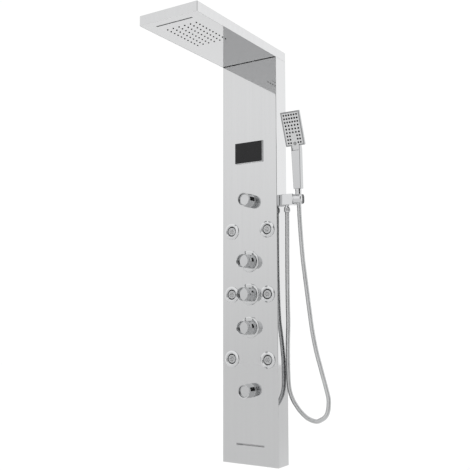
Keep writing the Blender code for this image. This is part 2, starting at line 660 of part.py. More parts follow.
def cradle(chrome, steel):
    """Slotted cup that turns about X on its pivot; the cone nut of the hose stands in it."""
    start = HOLDER_END + GAP
    long = CRADLE_END - start
    profile = [
        (0.0, 0.0), (CRADLE_RADIUS, 0.0), (CRADLE_RADIUS, long - 0.002), (CRADLE_RADIUS - 0.002, long),
        (0.0, long),
    ]
    cup = turned("cradle", profile, chrome, along(start, HOLDER_Y, up(HOLDER_MID), (1, 0, 0)))
    lean = at(*CRADLE_CENTRE) @ Matrix.Rotation(HANDLE_LEAN, 4, "X")
    reach = CRADLE_RADIUS + 0.005
    grow = (CONE_HIGH_RADIUS - CONE_LOW_RADIUS) / (CONE_HIGH - CONE_LOW)
    middle = CONE_LOW_RADIUS + CONE_CLEAR - grow * CONE_LOW
    bore = [(0.0, -reach), (middle - grow * reach, -reach), (middle + grow * reach, reach), (0.0, reach)]
    cut(cup, turned("cradle_bore", bore, chrome, lean))
    cut(cup, box("cradle_slot", (0, -CRADLE_SLOT / 2, -0.03), (0.03, CRADLE_SLOT / 2, 0.03), chrome, lean))
    axis = along(HOLDER_END, HOLDER_Y, up(HOLDER_MID), (1, 0, 0))
    hole = rod_profile(PIVOT_RADIUS + GAP, -0.01, PIVOT_HOLE)
    cut(cup, turned("cradle_pivot_hole", hole, chrome, axis, 16))
    turned("cradle_pivot", rod_profile(PIVOT_RADIUS, -PIVOT_ROOT, PIVOT_HOLE - 2 * GAP), steel, axis, 16)
    bring_to_axis(cup, CRADLE_CENTRE)


def loft_mesh(sections):
    """Closed skin through rings of corners that all have the same count."""
    bm = bmesh.new()
    rings = [[bm.verts.new(corner) for corner in ring] for ring in sections]
    for lower, upper in zip(rings, rings[1:]):
        for k, corner in enumerate(lower):
            after = (k + 1) % len(lower)
            bm.faces.new((corner, lower[after], upper[after], upper[k]))
    bm.faces.new(rings[0])
    bm.faces.new(rings[-1])
    return bm


def oblong(half_x, front, back, height, corner):
    """Rectangle with cut corners in the handle's own frame, front towards -Y."""
    flat_x = half_x - corner
    return [
        (-flat_x, front, height), (flat_x, front, height), (half_x, front + corner, height),
        (half_x, back - corner, height), (flat_x, back, height), (-flat_x, back, height),
        (-half_x, back - corner, height), (-half_x, front + corner, height),
    ]


def hand_shower(chrome, face_finish, rubber):
    lean = at(*CRADLE_CENTRE) @ Matrix.Rotation(HANDLE_LEAN, 4, "X")
    handle = [
        oblong(0.0127, -0.0095, 0.0110, CONE_HIGH + GAP, 0.002),
        oblong(0.0152, -0.0095, 0.0105, HANDLE_TOP, 0.002),
        oblong(0.0152, -0.0125, 0.0020, HANDLE_TOP + 0.022, 0.002),
        oblong(0.0152, -0.0190, -0.0115, HANDLE_TOP + 0.042, 0.002),
    ]
    body = add_object("hand_shower_body", loft_mesh(handle), chrome, lean, smooth=False)

    # The head's own frame: x across, z up the head, y into its back, from its lower front edge's middle
    head = at(CRADLE_X, SPRAY_BOTTOM_Y, up(SPRAY_BOTTOM)) @ Matrix.Rotation(SPRAY_LEAN, 4, "X")
    half = SPRAY_WIDTH / 2
    join(body, box("spray_case", (-half, 0, 0), (half, SPRAY_THICK, SPRAY_LENGTH), chrome, head,
                   round_edges=0.0015))
    tab = TAB_WIDTH / 2
    edge = tab + TAB_RIM
    tab_low = -TAB_LENGTH - TAB_RIM
    join(body, box("spray_tab", (-edge, 0, tab_low), (edge, SPRAY_THICK, 0.004), chrome, head))
    inner = half - SPRAY_RIM
    top = SPRAY_LENGTH - SPRAY_RIM
    cut(body, box("spray_recess", (-inner, -0.01, SPRAY_RIM), (inner, SPRAY_DEEP, top), chrome, head))
    sheet = FACE_THICK + GAP
    cut(body, box("tab_recess", (-tab, -0.01, -TAB_LENGTH), (tab, sheet, SPRAY_RIM + 0.001), chrome, head))

    clear = inner - GAP
    far = top - GAP
    face = box("spray_face", (-clear, 0, SPRAY_RIM + GAP), (clear, FACE_THICK, far), face_finish, head)
    join(face, box("face_tab", (GAP - tab, 0, GAP - TAB_LENGTH), (tab - GAP, FACE_THICK, SPRAY_RIM + 0.002),
                   face_finish, head))
    # Rods stand along local +Z, so the head's frame is turned to lay them along its depth
    turn = head @ Matrix.Rotation(-pi / 2, 4, "X")
    places = [(x, -z) for x, z in spray_places()]
    holes = many_rods_mesh(places, SPRAY_HOLE, -0.01, 0.01, 6)
    cut(face, add_object("spray_holes", holes, face_finish, turn, smooth=False))
    button_place = [(0.0, -BUTTON_UP)]
    button_hole = many_rods_mesh(button_place, BUTTON_RADIUS + BUTTON_CLEAR, -0.01, 0.01, 16)
    cut(face, add_object("button_hole", button_hole, face_finish, turn, smooth=False))
    button_well = many_rods_mesh(button_place, BUTTON_RADIUS + BUTTON_CLEAR, -0.01, SPRAY_DEEP, 16)
    cut(body, add_object("button_well", button_well, chrome, turn, smooth=False))

    mat = box("spray_nozzles", (-clear, sheet, SPRAY_RIM + GAP), (clear, SPRAY_DEEP - GAP, far), rubber,
              head)
    nipples = many_rods_mesh(places, SPRAY_HOLE - GAP, -SPRAY_NIPPLE_STAND, sheet + 0.0005, 6)
    join(mat, add_object("spray_nipples", nipples, rubber, turn, smooth=False))
    button_room = many_rods_mesh(button_place, BUTTON_RADIUS + BUTTON_CLEAR, -0.01, 0.01, 16)
    cut(mat, add_object("button_room", button_room, rubber, turn, smooth=False))
    button = many_rods_mesh(button_place, BUTTON_RADIUS, -BUTTON_STAND, sheet, 16)
    add_object("mode_button", button, chrome, turn)


def spray_places():
    """Nozzle places up the hand shower's face: three full rows, three of five, three beside the gap."""
    places = []
    for row in range(9):
        height = SPRAY_LENGTH - SPRAY_TOP_ROW - row * SPRAY_ROW_PITCH
        if row < 3:
            across = [(k - 2.5) * 0.0088 for k in range(6)]
        elif row < 6:
            across = [(k - 2) * 0.0105 for k in range(5)]
        else:
            across = [-0.0210, -0.0125, 0.0125, 0.0210]
        places += [(x, height) for x in across]
    return places


def hose_and_nuts(chrome):
    axis = Vector((0, -sin(HANDLE_LEAN), cos(HANDLE_LEAN)))
    cone = [(0.0, CONE_LOW), (CONE_LOW_RADIUS, CONE_LOW), (CONE_HIGH_RADIUS, CONE_HIGH), (0.0, CONE_HIGH)]
    turned("cone_nut", cone, chrome, at(*CRADLE_CENTRE) @ Matrix.Rotation(HANDLE_LEAN, 4, "X"))
    low = OUTLET_NUT_TOP - OUTLET_NUT_HEIGHT
    radius = OUTLET_NUT_RADIUS
    nut = [
        (0.0, low), (radius - 0.002, low), (radius, low + 0.003), (radius, OUTLET_NUT_TOP),
        (0.0, OUTLET_NUT_TOP),
    ]
    turned("outlet_nut", nut, chrome, at(OUTLET_X, HOLDER_Y, -HANG_HEIGHT))
    start = CRADLE_CENTRE + axis * (CONE_LOW - GAP)
    finish = Vector((OUTLET_X, HOLDER_Y, up(low - GAP)))
    route = [start, start - axis * HOSE_STRAIGHT / 2, start - axis * HOSE_STRAIGHT]
    route += [Vector((x, y, up(height))) for x, y, height in HOSE_ROUTE]
    route += [finish - Vector((0, 0, HOSE_STRAIGHT)), finish - Vector((0, 0, HOSE_STRAIGHT / 2)), finish]
    tube("hose", route, HOSE_DIAMETER / 2, chrome, HOSE_SPACING)


def build():
    for old in list(bpy.data.objects):
        bpy.data.objects.remove(old)
    steel = material("polished_steel", (0.78, 0.78, 0.79), 0.12, 1.0)
    chrome = material("chrome", (0.82, 0.83, 0.84), 0.06, 1.0)
    brass = material("brass", (0.75, 0.58, 0.30), 0.35, 1.0)
    rubber = material("silicone", (0.16, 0.16, 0.17), 0.6, 0.0)
    glass = material("black_glass", (0.015, 0.015, 0.017), 0.05, 0.0)
    plastic = material("grey_plastic", (0.55, 0.55, 0.56), 0.45, 0.0)
    insert = material("jet_insert", (0.62, 0.63, 0.65), 0.25, 0.6)

    column_panel(steel)
    head_shell(steel)
    rain_plate(steel)
    rain_nozzle_mat(rubber)
    rain_chamber(plastic)
    waterfall_outlet(plastic)
    hook_bar("upper_hook_bar", HANG_HEIGHT, -0.020, 0.094, steel)
    hook_bar("lower_hook_bar", LOWER_HANG_HEIGHT, -0.010, 0.040, steel)
    wall_bracket("upper_wall_bracket", HANG_HEIGHT, steel)
    wall_bracket("lower_wall_bracket", LOWER_HANG_HEIGHT, steel)
    display(chrome, glass)
    spout_outlet(steel)

    valves = {
        "upper": "upper_diverter", "hot": "hot_valve", "jet": "jet_valve", "cold": "cold_valve",
        "lower": "lower_diverter",
    }
    for name, height in CONTROL_HEIGHTS.items():
        valve(valves[name], height, brass)
        if name in ("upper", "lower"):
            knob(f"{name}_knob", height, 0.0010, END_KNOB_REACH, chrome)
            continue
        flange(f"{name}_flange", height, chrome)
        head = knob(f"{name}_knob", height, FLANGE_THICK + 0.0008, LEVER_KNOB_REACH, chrome)
        lever_pin(f"{name}_pin", height, head, chrome)
    for number, (x, height) in enumerate(JET_PLACES, 1):
        body_jet(number, x, height, chrome, insert)
    water_ways(brass, plastic)

    holder(chrome, brass)
    cradle(chrome, steel)
    hand_shower(chrome, insert, rubber)
    hose_and_nuts(chrome)


build()
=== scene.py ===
"""Looks of the wall-hung rainfall shower column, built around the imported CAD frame.

Frame as in the CAD: wall plane y = 0, the column stands in front of it (-Y), +X right, +Z up, metres.
"""

import json
from math import cos, pi, radians, sin, tau

import bmesh
import bpy
from mathutils import Matrix, Vector


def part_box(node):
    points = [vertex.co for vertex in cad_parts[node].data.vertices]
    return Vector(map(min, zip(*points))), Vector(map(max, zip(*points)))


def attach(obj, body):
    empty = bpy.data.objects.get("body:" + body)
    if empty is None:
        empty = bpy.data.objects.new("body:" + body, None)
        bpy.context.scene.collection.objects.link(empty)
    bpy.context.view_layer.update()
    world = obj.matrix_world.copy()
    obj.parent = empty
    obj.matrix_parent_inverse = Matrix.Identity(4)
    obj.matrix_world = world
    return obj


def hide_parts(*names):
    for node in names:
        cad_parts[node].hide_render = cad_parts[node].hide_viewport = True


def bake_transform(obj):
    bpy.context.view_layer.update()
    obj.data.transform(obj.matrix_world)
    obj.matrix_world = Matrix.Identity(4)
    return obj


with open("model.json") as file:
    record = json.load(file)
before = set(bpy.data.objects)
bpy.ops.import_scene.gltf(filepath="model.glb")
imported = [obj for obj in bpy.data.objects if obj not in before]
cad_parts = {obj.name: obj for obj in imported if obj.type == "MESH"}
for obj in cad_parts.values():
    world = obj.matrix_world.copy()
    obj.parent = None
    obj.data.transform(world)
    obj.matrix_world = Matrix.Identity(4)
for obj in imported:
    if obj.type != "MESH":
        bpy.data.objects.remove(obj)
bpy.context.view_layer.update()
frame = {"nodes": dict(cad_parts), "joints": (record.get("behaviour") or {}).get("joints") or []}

SHEET = 0.0015
GAP = 0.0003
FOLD = 0.0018

CONTROLS = ("upper", "hot", "jet", "cold", "lower")
JETS = range(1, 7)
OUTWARD = Matrix.Rotation(pi / 2, 4, "X")

PANEL_LOW, PANEL_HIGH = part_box("column_panel")
HEAD_LOW, HEAD_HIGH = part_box("head_shell")
FRONT = PANEL_LOW.y
FOOT = PANEL_LOW.z
JOINTS = {joint["name"]: joint for joint in frame["joints"]}
CRADLE_CENTRE = Vector(JOINTS["cradle_tilt"]["pos_m"])
HANDLE_AXIS = Vector(JOINTS["hand_shower_turn"]["axis"]).normalized()
HANDLE_LEAN = radians(4.0)
HANDLE = Matrix.Translation(CRADLE_CENTRE) @ Matrix.Rotation(HANDLE_LEAN, 4, "X")

# The cone nut, along the handle's axis from the middle of the cradle.
CONE_LOW, CONE_HIGH = -0.0167, 0.0315
CONE_FOOT, CONE_TOP = 0.0090, 0.0105
CONE_GROW = (CONE_TOP - CONE_FOOT) / (CONE_HIGH - CONE_LOW)
PIVOT_RADIUS = 0.0053


def at(x, y, z):
    return Matrix.Translation((x, y, z))


def along(place, direction):
    """A placement whose local +Z points along a direction."""
    turn = Vector((0, 0, 1)).rotation_difference(Vector(direction)).to_matrix().to_4x4()
    return Matrix.Translation(place) @ turn


def middle(node):
    low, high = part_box(node)
    return (low + high) / 2


# ---- camera ------------------------------------------------------------------------------------------
CAMERA_PLACE = (1.2254, -2.0605, -0.7437)
CAMERA_YAW, CAMERA_PITCH, CAMERA_ROLL = radians(-32.62), radians(6.10), radians(-0.09)
CAMERA_LENS = 57.25


def add_camera():
    yaw, pitch, roll = CAMERA_YAW, CAMERA_PITCH, CAMERA_ROLL
    data = bpy.data.cameras.new("camera")
    data.sensor_width = 36.0
    data.lens = CAMERA_LENS
    data.clip_end = 60.0
    camera = bpy.data.objects.new("camera", data)
    right = Vector((cos(yaw), -sin(yaw), 0.0))
    forward = Vector((sin(yaw) * cos(pitch), cos(yaw) * cos(pitch), sin(pitch)))
    upward = right.cross(forward)
    right, upward = right * cos(roll) + upward * sin(roll), upward * cos(roll) - right * sin(roll)
    turn = Matrix((right, upward, -forward)).transposed().to_4x4()
    camera.matrix_world = Matrix.Translation(CAMERA_PLACE) @ turn
    bpy.context.scene.collection.objects.link(camera)
    bpy.context.scene.camera = camera


# ---- hose --------------------------------------------------------------------------------------------
HOSE_DIAMETER = 0.014
HOSE_STRAIGHT = 0.034
HOSE_PITCH = 0.0034
HOSE_DEPTH = 0.0007
HOSE_SIDES = 18
RINGS_PER_TURN = 6
HANG_HEIGHT = 1.200
HOSE_ROUTE = [
    (0.1615, -0.0240, 0.716), (0.1640, -0.0220, 0.669), (0.1672, -0.0200, 0.623), (0.1722, -0.0185, 0.577),
    (0.1775, -0.0170, 0.531), (0.1845, -0.0150, 0.470), (0.1923, -0.0135, 0.410), (0.2035, -0.0120, 0.351),
    (0.2194, -0.0110, 0.292), (0.2358, -0.0100, 0.234), (0.2419, -0.0095, 0.205), (0.2395, -0.0090, 0.175),
    (0.2311, -0.0090, 0.156), (0.2155, -0.0090, 0.1445), (0.1989, -0.0090, 0.139), (0.1723, -0.0090, 0.146),
    (0.1489, -0.0090, 0.1635), (0.1319, -0.0090, 0.183), (0.1190, -0.0090, 0.2035), (0.1108, -0.0097, 0.228),
    (0.1081, -0.0110, 0.257), (0.1077, -0.0121, 0.288), (0.1079, -0.0136, 0.318), (0.1092, -0.0157, 0.349),
    (0.1112, -0.0183, 0.380), (0.1138, -0.0210, 0.411), (0.1160, -0.0240, 0.442), (0.1168, -0.0272, 0.490),
    (0.1173, -0.0285, 0.530), (0.1180, -0.0298, 0.600), (0.1183, -0.0298, 0.660),
]


def smooth_route(points, spacing):
    """Evenly spaced points on a Catmull-Rom curve through the given ones."""
    points = [Vector(p) for p in points]
    ends = [2 * points[0] - points[1]] + points + [2 * points[-1] - points[-2]]
    fine = [points[0]]
    steps = 24
    for a, b, c, d in zip(ends, ends[1:], ends[2:], ends[3:]):
        for k in range(1, steps + 1):
            t = k / steps
            bend = (2 * a - 5 * b + 4 * c - d) * t**2 + (3 * b - a - 3 * c + d) * t**3
            fine.append(0.5 * (2 * b + (c - a) * t + bend))
    lengths = [0.0]
    for a, b in zip(fine, fine[1:]):
        lengths.append(lengths[-1] + (b - a).length)
    count = round(lengths[-1] / spacing)
    route = []
    k = 0
    for n in range(count + 1):
        wanted = lengths[-1] * n / count
        while k < len(fine) - 2 and lengths[k + 1] < wanted:
            k += 1
        share = (wanted - lengths[k]) / (lengths[k + 1] - lengths[k])
        route.append(fine[k].lerp(fine[k + 1], share))
    return route


def hose_route():
    """From under the cone nut, down, round the loop and up to the underside of the outlet nut."""
    start = CRADLE_CENTRE + HANDLE_AXIS * (CONE_LOW - GAP)
    finish = middle("outlet_nut")
    finish.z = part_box("outlet_nut")[0].z - GAP
    up = Vector((0, 0, 1))
    points = [start, start - HANDLE_AXIS * HOSE_STRAIGHT / 2, start - HANDLE_AXIS * HOSE_STRAIGHT]
    points += [Vector((x, y, height - HANG_HEIGHT)) for x, y, height in HOSE_ROUTE]
    points += [finish - up * HOSE_STRAIGHT, finish - up * HOSE_STRAIGHT / 2, finish]
    return points


def tube_mesh(route, radius_at, sides):
    """Tube along a route, without twist; radius_at(distance, angle) gives its wall."""
    bm = bmesh.new()
    side = Vector((1, 0, 0))
    distance = 0.0
    rings = []
    for k, place in enumerate(route):
        ahead = route[min(k + 1, len(route) - 1)] - route[max(k - 1, 0)]
        ahead.normalize()
        side = (side - ahead * side.dot(ahead)).normalized()
        other = ahead.cross(side)
        if k:
            distance += (place - route[k - 1]).length
        ring = []
        for n in range(sides):
            angle = tau * n / sides
            radius = radius_at(distance, angle)
            ring.append(bm.verts.new(place + radius * (cos(angle) * side + sin(angle) * other)))
        rings.append(ring)
    for lower, upper in zip(rings, rings[1:]):
        for n in range(sides):
            after = (n + 1) % sides
            bm.faces.new((lower[n], lower[after], upper[after], upper[n]))
    bm.faces.new(rings[0])
    bm.faces.new(rings[-1])
    return bm


def add_hose(finish):
    """Double-wound steel hose: one ridge and one groove per turn."""
    points = hose_route()
    route = smooth_route(points, HOSE_PITCH / RINGS_PER_TURN)
    radius = HOSE_DIAMETER / 2

    def winding(distance, angle):
        phase = (distance / HOSE_PITCH - angle / tau) % 1.0
        groove = max(0.0, 1.0 - abs(phase - 0.5) / 0.28)
        return radius - HOSE_DEPTH * groove

    hose = add_piece("hose_winding", tube_mesh(route, winding, HOSE_SIDES), finish, angle=80)
    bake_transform(hose)
    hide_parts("hose")
    path = [tuple(p) for p in smooth_route(points, 0.01)]


# ---- mesh helpers ------------------------------------------------------------------------------------
def add_piece(name, bm, finish, matrix=Matrix.Identity(4), angle=35, recalc=True):
    mesh = bpy.data.meshes.new(name)
    if recalc:
        bmesh.ops.recalc_face_normals(bm, faces=bm.faces)
    bm.to_mesh(mesh)
    bm.free()
    mesh.materials.append(finish)
    piece = bpy.data.objects.new(name, mesh)
    bpy.context.scene.collection.objects.link(piece)
    mesh.transform(matrix)
    shade(piece, angle)
    return piece


def shade(piece, angle=35):
    """Smooth shading that keeps flat faces flat beside their rounded edges."""
    piece.data.shade_smooth()
    piece.data.set_sharp_from_angle(angle=radians(angle))
    if "weighted" not in piece.modifiers:
        weighted = piece.modifiers.new("weighted", "WEIGHTED_NORMAL")
        weighted.keep_sharp = True


def bake(piece, cutters=()):
    """Applies the piece's modifiers and removes its cutters."""
    if "weighted" in piece.modifiers:
        piece.modifiers.remove(piece.modifiers["weighted"])
    evaluated = piece.evaluated_get(bpy.context.evaluated_depsgraph_get())
    mesh = bpy.data.meshes.new_from_object(evaluated)
    piece.modifiers.clear()
    piece.data = mesh
    for cutter in cutters:
        bpy.data.objects.remove(cutter)
    shade(piece)


def combine(piece, tools, operation="DIFFERENCE"):
    """Booleans meshes into a piece, one after the other, and keeps only the result."""
    made = []
    for number, bm in enumerate(tools):
        mesh = bpy.data.meshes.new("tool")
        bmesh.ops.recalc_face_normals(bm, faces=bm.faces)
        bm.to_mesh(mesh)
        bm.free()
        tool = bpy.data.objects.new(f"tool_{number}", mesh)
        bpy.context.scene.collection.objects.link(tool)
        made.append(tool)
        change = piece.modifiers.new(tool.name, "BOOLEAN")
        change.operation = operation
        change.solver = "EXACT"
        change.object = tool
    bake(piece, made)


def box_mesh(low, high, matrix=Matrix.Identity(4)):
    bm = bmesh.new()
    bmesh.ops.create_cube(bm, size=1.0)
    low, high = Vector(low), Vector(high)
    for vert in bm.verts:
        vert.co = matrix @ Vector((lo + (c + 0.5) * (hi - lo) for lo, hi, c in zip(low, high, vert.co)))
    return bm


def rounded_box(low, high, radius, segments=3, matrix=Matrix.Identity(4), pick=None):
    """Box with rounded edges; pick(middle of an edge, its direction) chooses which ones."""
    bm = box_mesh(low, high)
    chosen = []
    for edge in bm.edges:
        first, last = edge.verts[0].co, edge.verts[1].co
        if pick is None or pick((first + last) / 2, last - first):
            chosen.append(edge)
    bmesh.ops.bevel(bm, geom=chosen, offset=radius, segments=segments, profile=0.5, affect="EDGES")
    bm.transform(matrix)
    return bm


def soft_profile(points, steps=4):
    """Rounds the corners of a profile of (radius, z, corner radius) points."""
    flat = [Vector((p[0], p[1])) for p in points]
    made = []
    for k, (here, spec) in enumerate(zip(flat, points)):
        corner = spec[2] if len(spec) > 2 else 0.0
        if not corner or k in (0, len(points) - 1):
            made.append(here)
            continue
        before, after = flat[k - 1] - here, flat[k + 1] - here
        reach = min(corner, before.length * 0.49, after.length * 0.49)
        first, last = here + before.normalized() * reach, here + after.normalized() * reach
        for n in range(steps + 1):
            t = n / steps
            made.append(first * (1 - t) ** 2 + here * 2 * t * (1 - t) + last * t * t)
    return [(p.x, p.y) for p in made]


def turned_mesh(profile, sides=64, matrix=Matrix.Identity(4)):
    """A profile of (radius, z) points spun about z."""
    bm = bmesh.new()
    verts = [bm.verts.new((max(radius, 0.0), 0.0, z)) for radius, z in profile]
    edges = [bm.edges.new(pair) for pair in zip(verts, verts[1:])]
    if profile[0][0] > 0.0:
        edges.append(bm.edges.new((verts[-1], verts[0])))
    bmesh.ops.spin(
        bm, geom=verts + edges, cent=(0, 0, 0), axis=(0, 0, 1), angle=tau, steps=sides, use_merge=True
    )
    bmesh.ops.remove_doubles(bm, verts=bm.verts, dist=1e-6)
    bm.transform(matrix)
    return bm


def join_meshes(parts):
    """Several meshes in one, each still its own closed body."""
    whole = bmesh.new()
    for bm in parts:
        mesh = bpy.data.meshes.new("part")
        bm.to_mesh(mesh)
        bm.free()
        whole.from_mesh(mesh)
        bpy.data.meshes.remove(mesh)
    return whole


def settle(piece, body, slot, *nodes):
    """Rides the piece on its body and hides the CAD nodes it stands for; the slot argument is not used."""
    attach(piece, body)
    if nodes:
        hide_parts(*nodes)


# ---- materials ---------------------------------------------------------------------------------------
class Nodes:
    """Short hand for building a Principled material."""

    def __init__(self, name):
        self.material = bpy.data.materials.new(name)
        self.material.use_nodes = True
        self.tree = self.material.node_tree
        self.shader = self.tree.nodes["Principled BSDF"]
        self.place = self.add("ShaderNodeTexCoord").outputs["Object"]

    def add(self, kind, **settings):
        node = self.tree.nodes.new(kind)
        for key, value in settings.items():
            if hasattr(node, key):
                setattr(node, key, value)
            else:
                node.inputs[key].default_value = value
        return node

    def link(self, source, target):
        self.tree.links.new(source, target)

    def scaled(self, scale):
        stretch = self.add("ShaderNodeMapping", Scale=scale)
        self.link(self.place, stretch.inputs["Vector"])
        return stretch.outputs["Vector"]

    def noise(self, scale, detail=3.0, stretch=None, roughness=0.55):
        noise = self.add("ShaderNodeTexNoise", Scale=scale, Detail=detail, Roughness=roughness)
        self.link(self.scaled(stretch) if stretch else self.place, noise.inputs["Vector"])
        return noise.outputs["Fac"]

    def ramp(self, source, low, high, dark, bright):
        ends = {"From Min": low, "From Max": high, "To Min": dark, "To Max": bright}
        ramp = self.add("ShaderNodeMapRange", **ends)
        self.link(source, ramp.inputs["Value"])
        return ramp.outputs["Result"]

    def colours(self, source, first, second, low=0.3, high=0.7):
        mix = self.add("ShaderNodeMix", data_type="RGBA")
        a, b = [socket for socket in mix.inputs if socket.type == "RGBA"]
        a.default_value = (*first, 1.0)
        b.default_value = (*second, 1.0)
        self.link(self.ramp(source, low, high, 0.0, 1.0), mix.inputs["Factor"])
        result = [socket for socket in mix.outputs if socket.type == "RGBA"][0]
        self.link(result, self.shader.inputs["Base Color"])

    def rough(self, source, smooth, dull, low=0.3, high=0.7):
        self.link(self.ramp(source, low, high, smooth, dull), self.shader.inputs["Roughness"])

    def bump(self, source, strength, distance):
        bump = self.add("ShaderNodeBump", Strength=strength, Distance=distance)
        self.link(source, bump.inputs["Height"])
        previous = self.shader.inputs["Normal"].links
        if previous:
            self.link(previous[0].from_socket, bump.inputs["Normal"])
        self.link(bump.outputs["Normal"], self.shader.inputs["Normal"])


def metal(name, first, second, smooth, dull, wave=0.0, grain=0.0, stretch=(1, 1, 1), scale=90.0,
          drift=(1, 1, 1)):
    """Plated or polished metal: slight tone drift, uneven gloss, sheet waviness and polishing grain."""
    made = Nodes(name)
    made.shader.inputs["Metallic"].default_value = 1.0
    made.colours(made.noise(14.0, stretch=drift), first, second)
    made.rough(made.noise(scale, stretch=stretch), smooth, dull)
    if wave:
        made.bump(made.noise(5.0, detail=1.0), wave, 0.002)
    if grain:
        made.bump(made.noise(scale * 6, detail=2.0, stretch=stretch), grain, 0.0002)
    return made.material


def plastic(name, first, second, smooth, dull, grain, scale=400.0, shine=0.5):
    """Moulded plastic or rubber with a fine texture."""
    made = Nodes(name)
    made.colours(made.noise(40.0), first, second)
    made.rough(made.noise(120.0), smooth, dull)
    made.shader.inputs["Specular IOR Level"].default_value = shine
    made.bump(made.noise(scale, detail=2.0), grain, 0.0002)
    return made.material


def spangled_steel(name):
    """Galvanised sheet with its crystal spangle."""
    made = Nodes(name)
    made.shader.inputs["Metallic"].default_value = 1.0
    cells = made.add("ShaderNodeTexVoronoi", Scale=160.0)
    made.link(made.place, cells.inputs["Vector"])
    tone = made.add("ShaderNodeSeparateColor")
    made.link(cells.outputs["Color"], tone.inputs["Color"])
    made.colours(tone.outputs["Red"], (0.42, 0.43, 0.45), (0.60, 0.61, 0.62), 0.0, 1.0)
    made.rough(tone.outputs["Green"], 0.28, 0.48, 0.0, 1.0)
    made.bump(made.noise(60.0), 0.15, 0.0003)
    return made.material


def cast_brass(name):
    """Cast brass: turned bands with a rough skin between."""
    made = Nodes(name)
    made.shader.inputs["Metallic"].default_value = 1.0
    made.colours(made.noise(70.0), (0.60, 0.42, 0.19), (0.72, 0.54, 0.27))
    made.rough(made.noise(200.0), 0.24, 0.42)
    made.bump(made.noise(900.0, detail=2.0), 0.25, 0.0002)
    return made.material


def window_glass(name):
    """Glossy black window over the display."""
    made = Nodes(name)
    made.colours(made.noise(30.0), (0.007, 0.007, 0.008), (0.010, 0.010, 0.011))
    made.rough(made.noise(60.0), 0.05, 0.08)
    made.shader.inputs["Specular IOR Level"].default_value = 0.28
    made.bump(made.noise(6.0, detail=1.0), 0.02, 0.001)
    return made.material


# ---- column and head ---------------------------------------------------------------------------------
def round_hole(place, direction, radius, depth=0.02, sides=48, flare=0.0):
    """Cutter for a round hole; flare widens its far end, which makes a chamfered rim."""
    far_end = [(radius, -flare), (radius + 2 * flare, flare), (0.0, flare)]
    if not flare:
        far_end = [(radius, depth), (0.0, depth)]
    profile = [(0.0, -depth), (radius, -depth)] + far_end
    return turned_mesh(profile, sides, along(place, direction))


def column_panel(steel):
    """Folded channel with round folds, open at the back and at the top."""
    low, high = PANEL_LOW, PANEL_HIGH

    def folded(mid, direction):
        upright = abs(direction.z) > 0.1
        at_front = abs(mid.y - low.y) < 1e-5
        at_foot = abs(mid.z - low.z) < 1e-5
        return at_front and (upright or at_foot) or at_foot and abs(direction.y) > 0.01

    panel = add_piece("folded_panel", rounded_box(low, high, FOLD, 5, pick=folded), steel)
    inner_low = Vector((low.x + SHEET, low.y + SHEET, low.z + SHEET))
    inner_high = Vector((high.x - SHEET, high.y + 0.01, high.z + 0.01))
    hollow = rounded_box(inner_low, inner_high, 0.0005, 2)
    tools = [hollow]
    for name in CONTROLS:
        spot = middle(f"{name}_knob")
        tools.append(round_hole((spot.x, FRONT, spot.z), (0, -1, 0), 0.0130))
    for number in JETS:
        spot = middle(f"jet_body_{number}")
        tools.append(round_hole((spot.x, FRONT, spot.z), (0, -1, 0), 0.0180))
    display_low, display_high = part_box("display_housing")
    display_mid = (display_low + display_high) / 2
    display_half = (display_high - display_low) / 2 - Vector((0.0020, 0.0, 0.0020))
    for mid, half in ((display_mid, display_half), (middle("spout_outlet"), Vector((0.050, 0.0, 0.003)))):
        tools.append(box_mesh((mid.x - half.x, FRONT - 0.01, mid.z - half.z),
                              (mid.x + half.x, FRONT + 0.01, mid.z + half.z)))
    port = middle("holder_nut")
    tools.append(round_hole((high.x, port.y, port.z), (1, 0, 0), 0.0105, 0.01))
    combine(panel, tools)
    settle(panel, "panel", "polished_steel", "column_panel")


def head_cover(steel):
    """Folded head: top, front and long side walls with round folds, open below and at the back."""
    low, high = HEAD_LOW, HEAD_HIGH

    def folded(mid, direction):
        on_top = abs(mid.z - high.z) < 1e-5
        at_front = abs(mid.y - low.y) < 1e-5
        return on_top and mid.y < high.y - 0.001 or at_front and abs(direction.z) > 0.01

    cover = add_piece("head_cover", rounded_box(low, high, FOLD, 5, pick=folded), steel)
    hollow = rounded_box((low.x + SHEET, low.y + SHEET, low.z - 0.01),
                         (high.x - SHEET, high.y + 0.01, high.z - SHEET), 0.0005, 2)
    combine(cover, [hollow])
    settle(cover, "panel", "polished_steel", "head_shell")


def rain_places():
    """The 6 by 10 nozzle places under the head, from the CAD mat's box."""
    low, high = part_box("rain_nozzle_mat")
    mid = (low + high) / 2
    columns, rows = 6, 10
    pitch_x, pitch_y = 0.0202, 0.0164
    return [
        (mid.x + (i - (columns - 1) / 2) * pitch_x, mid.y + (j - (rows - 1) / 2) * pitch_y)
        for i in range(columns)
        for j in range(rows)
    ]


def nipple_profile(root, radius, stand, root_radius):
    """Soft nipple with a rounded lip and a jet hole, from its root up to the tip."""
    hole = radius * 0.42
    return soft_profile([
        (0.0, root), (root_radius, root), (root_radius, root + 0.0004, 0.0003), (radius * 1.02, 0.0, 0.0003),
        (radius * 0.92, stand, 0.0005), (hole, stand, 0.0003), (hole * 0.8, stand - 0.0014),
        (0.0, stand - 0.0014),
    ], 3)


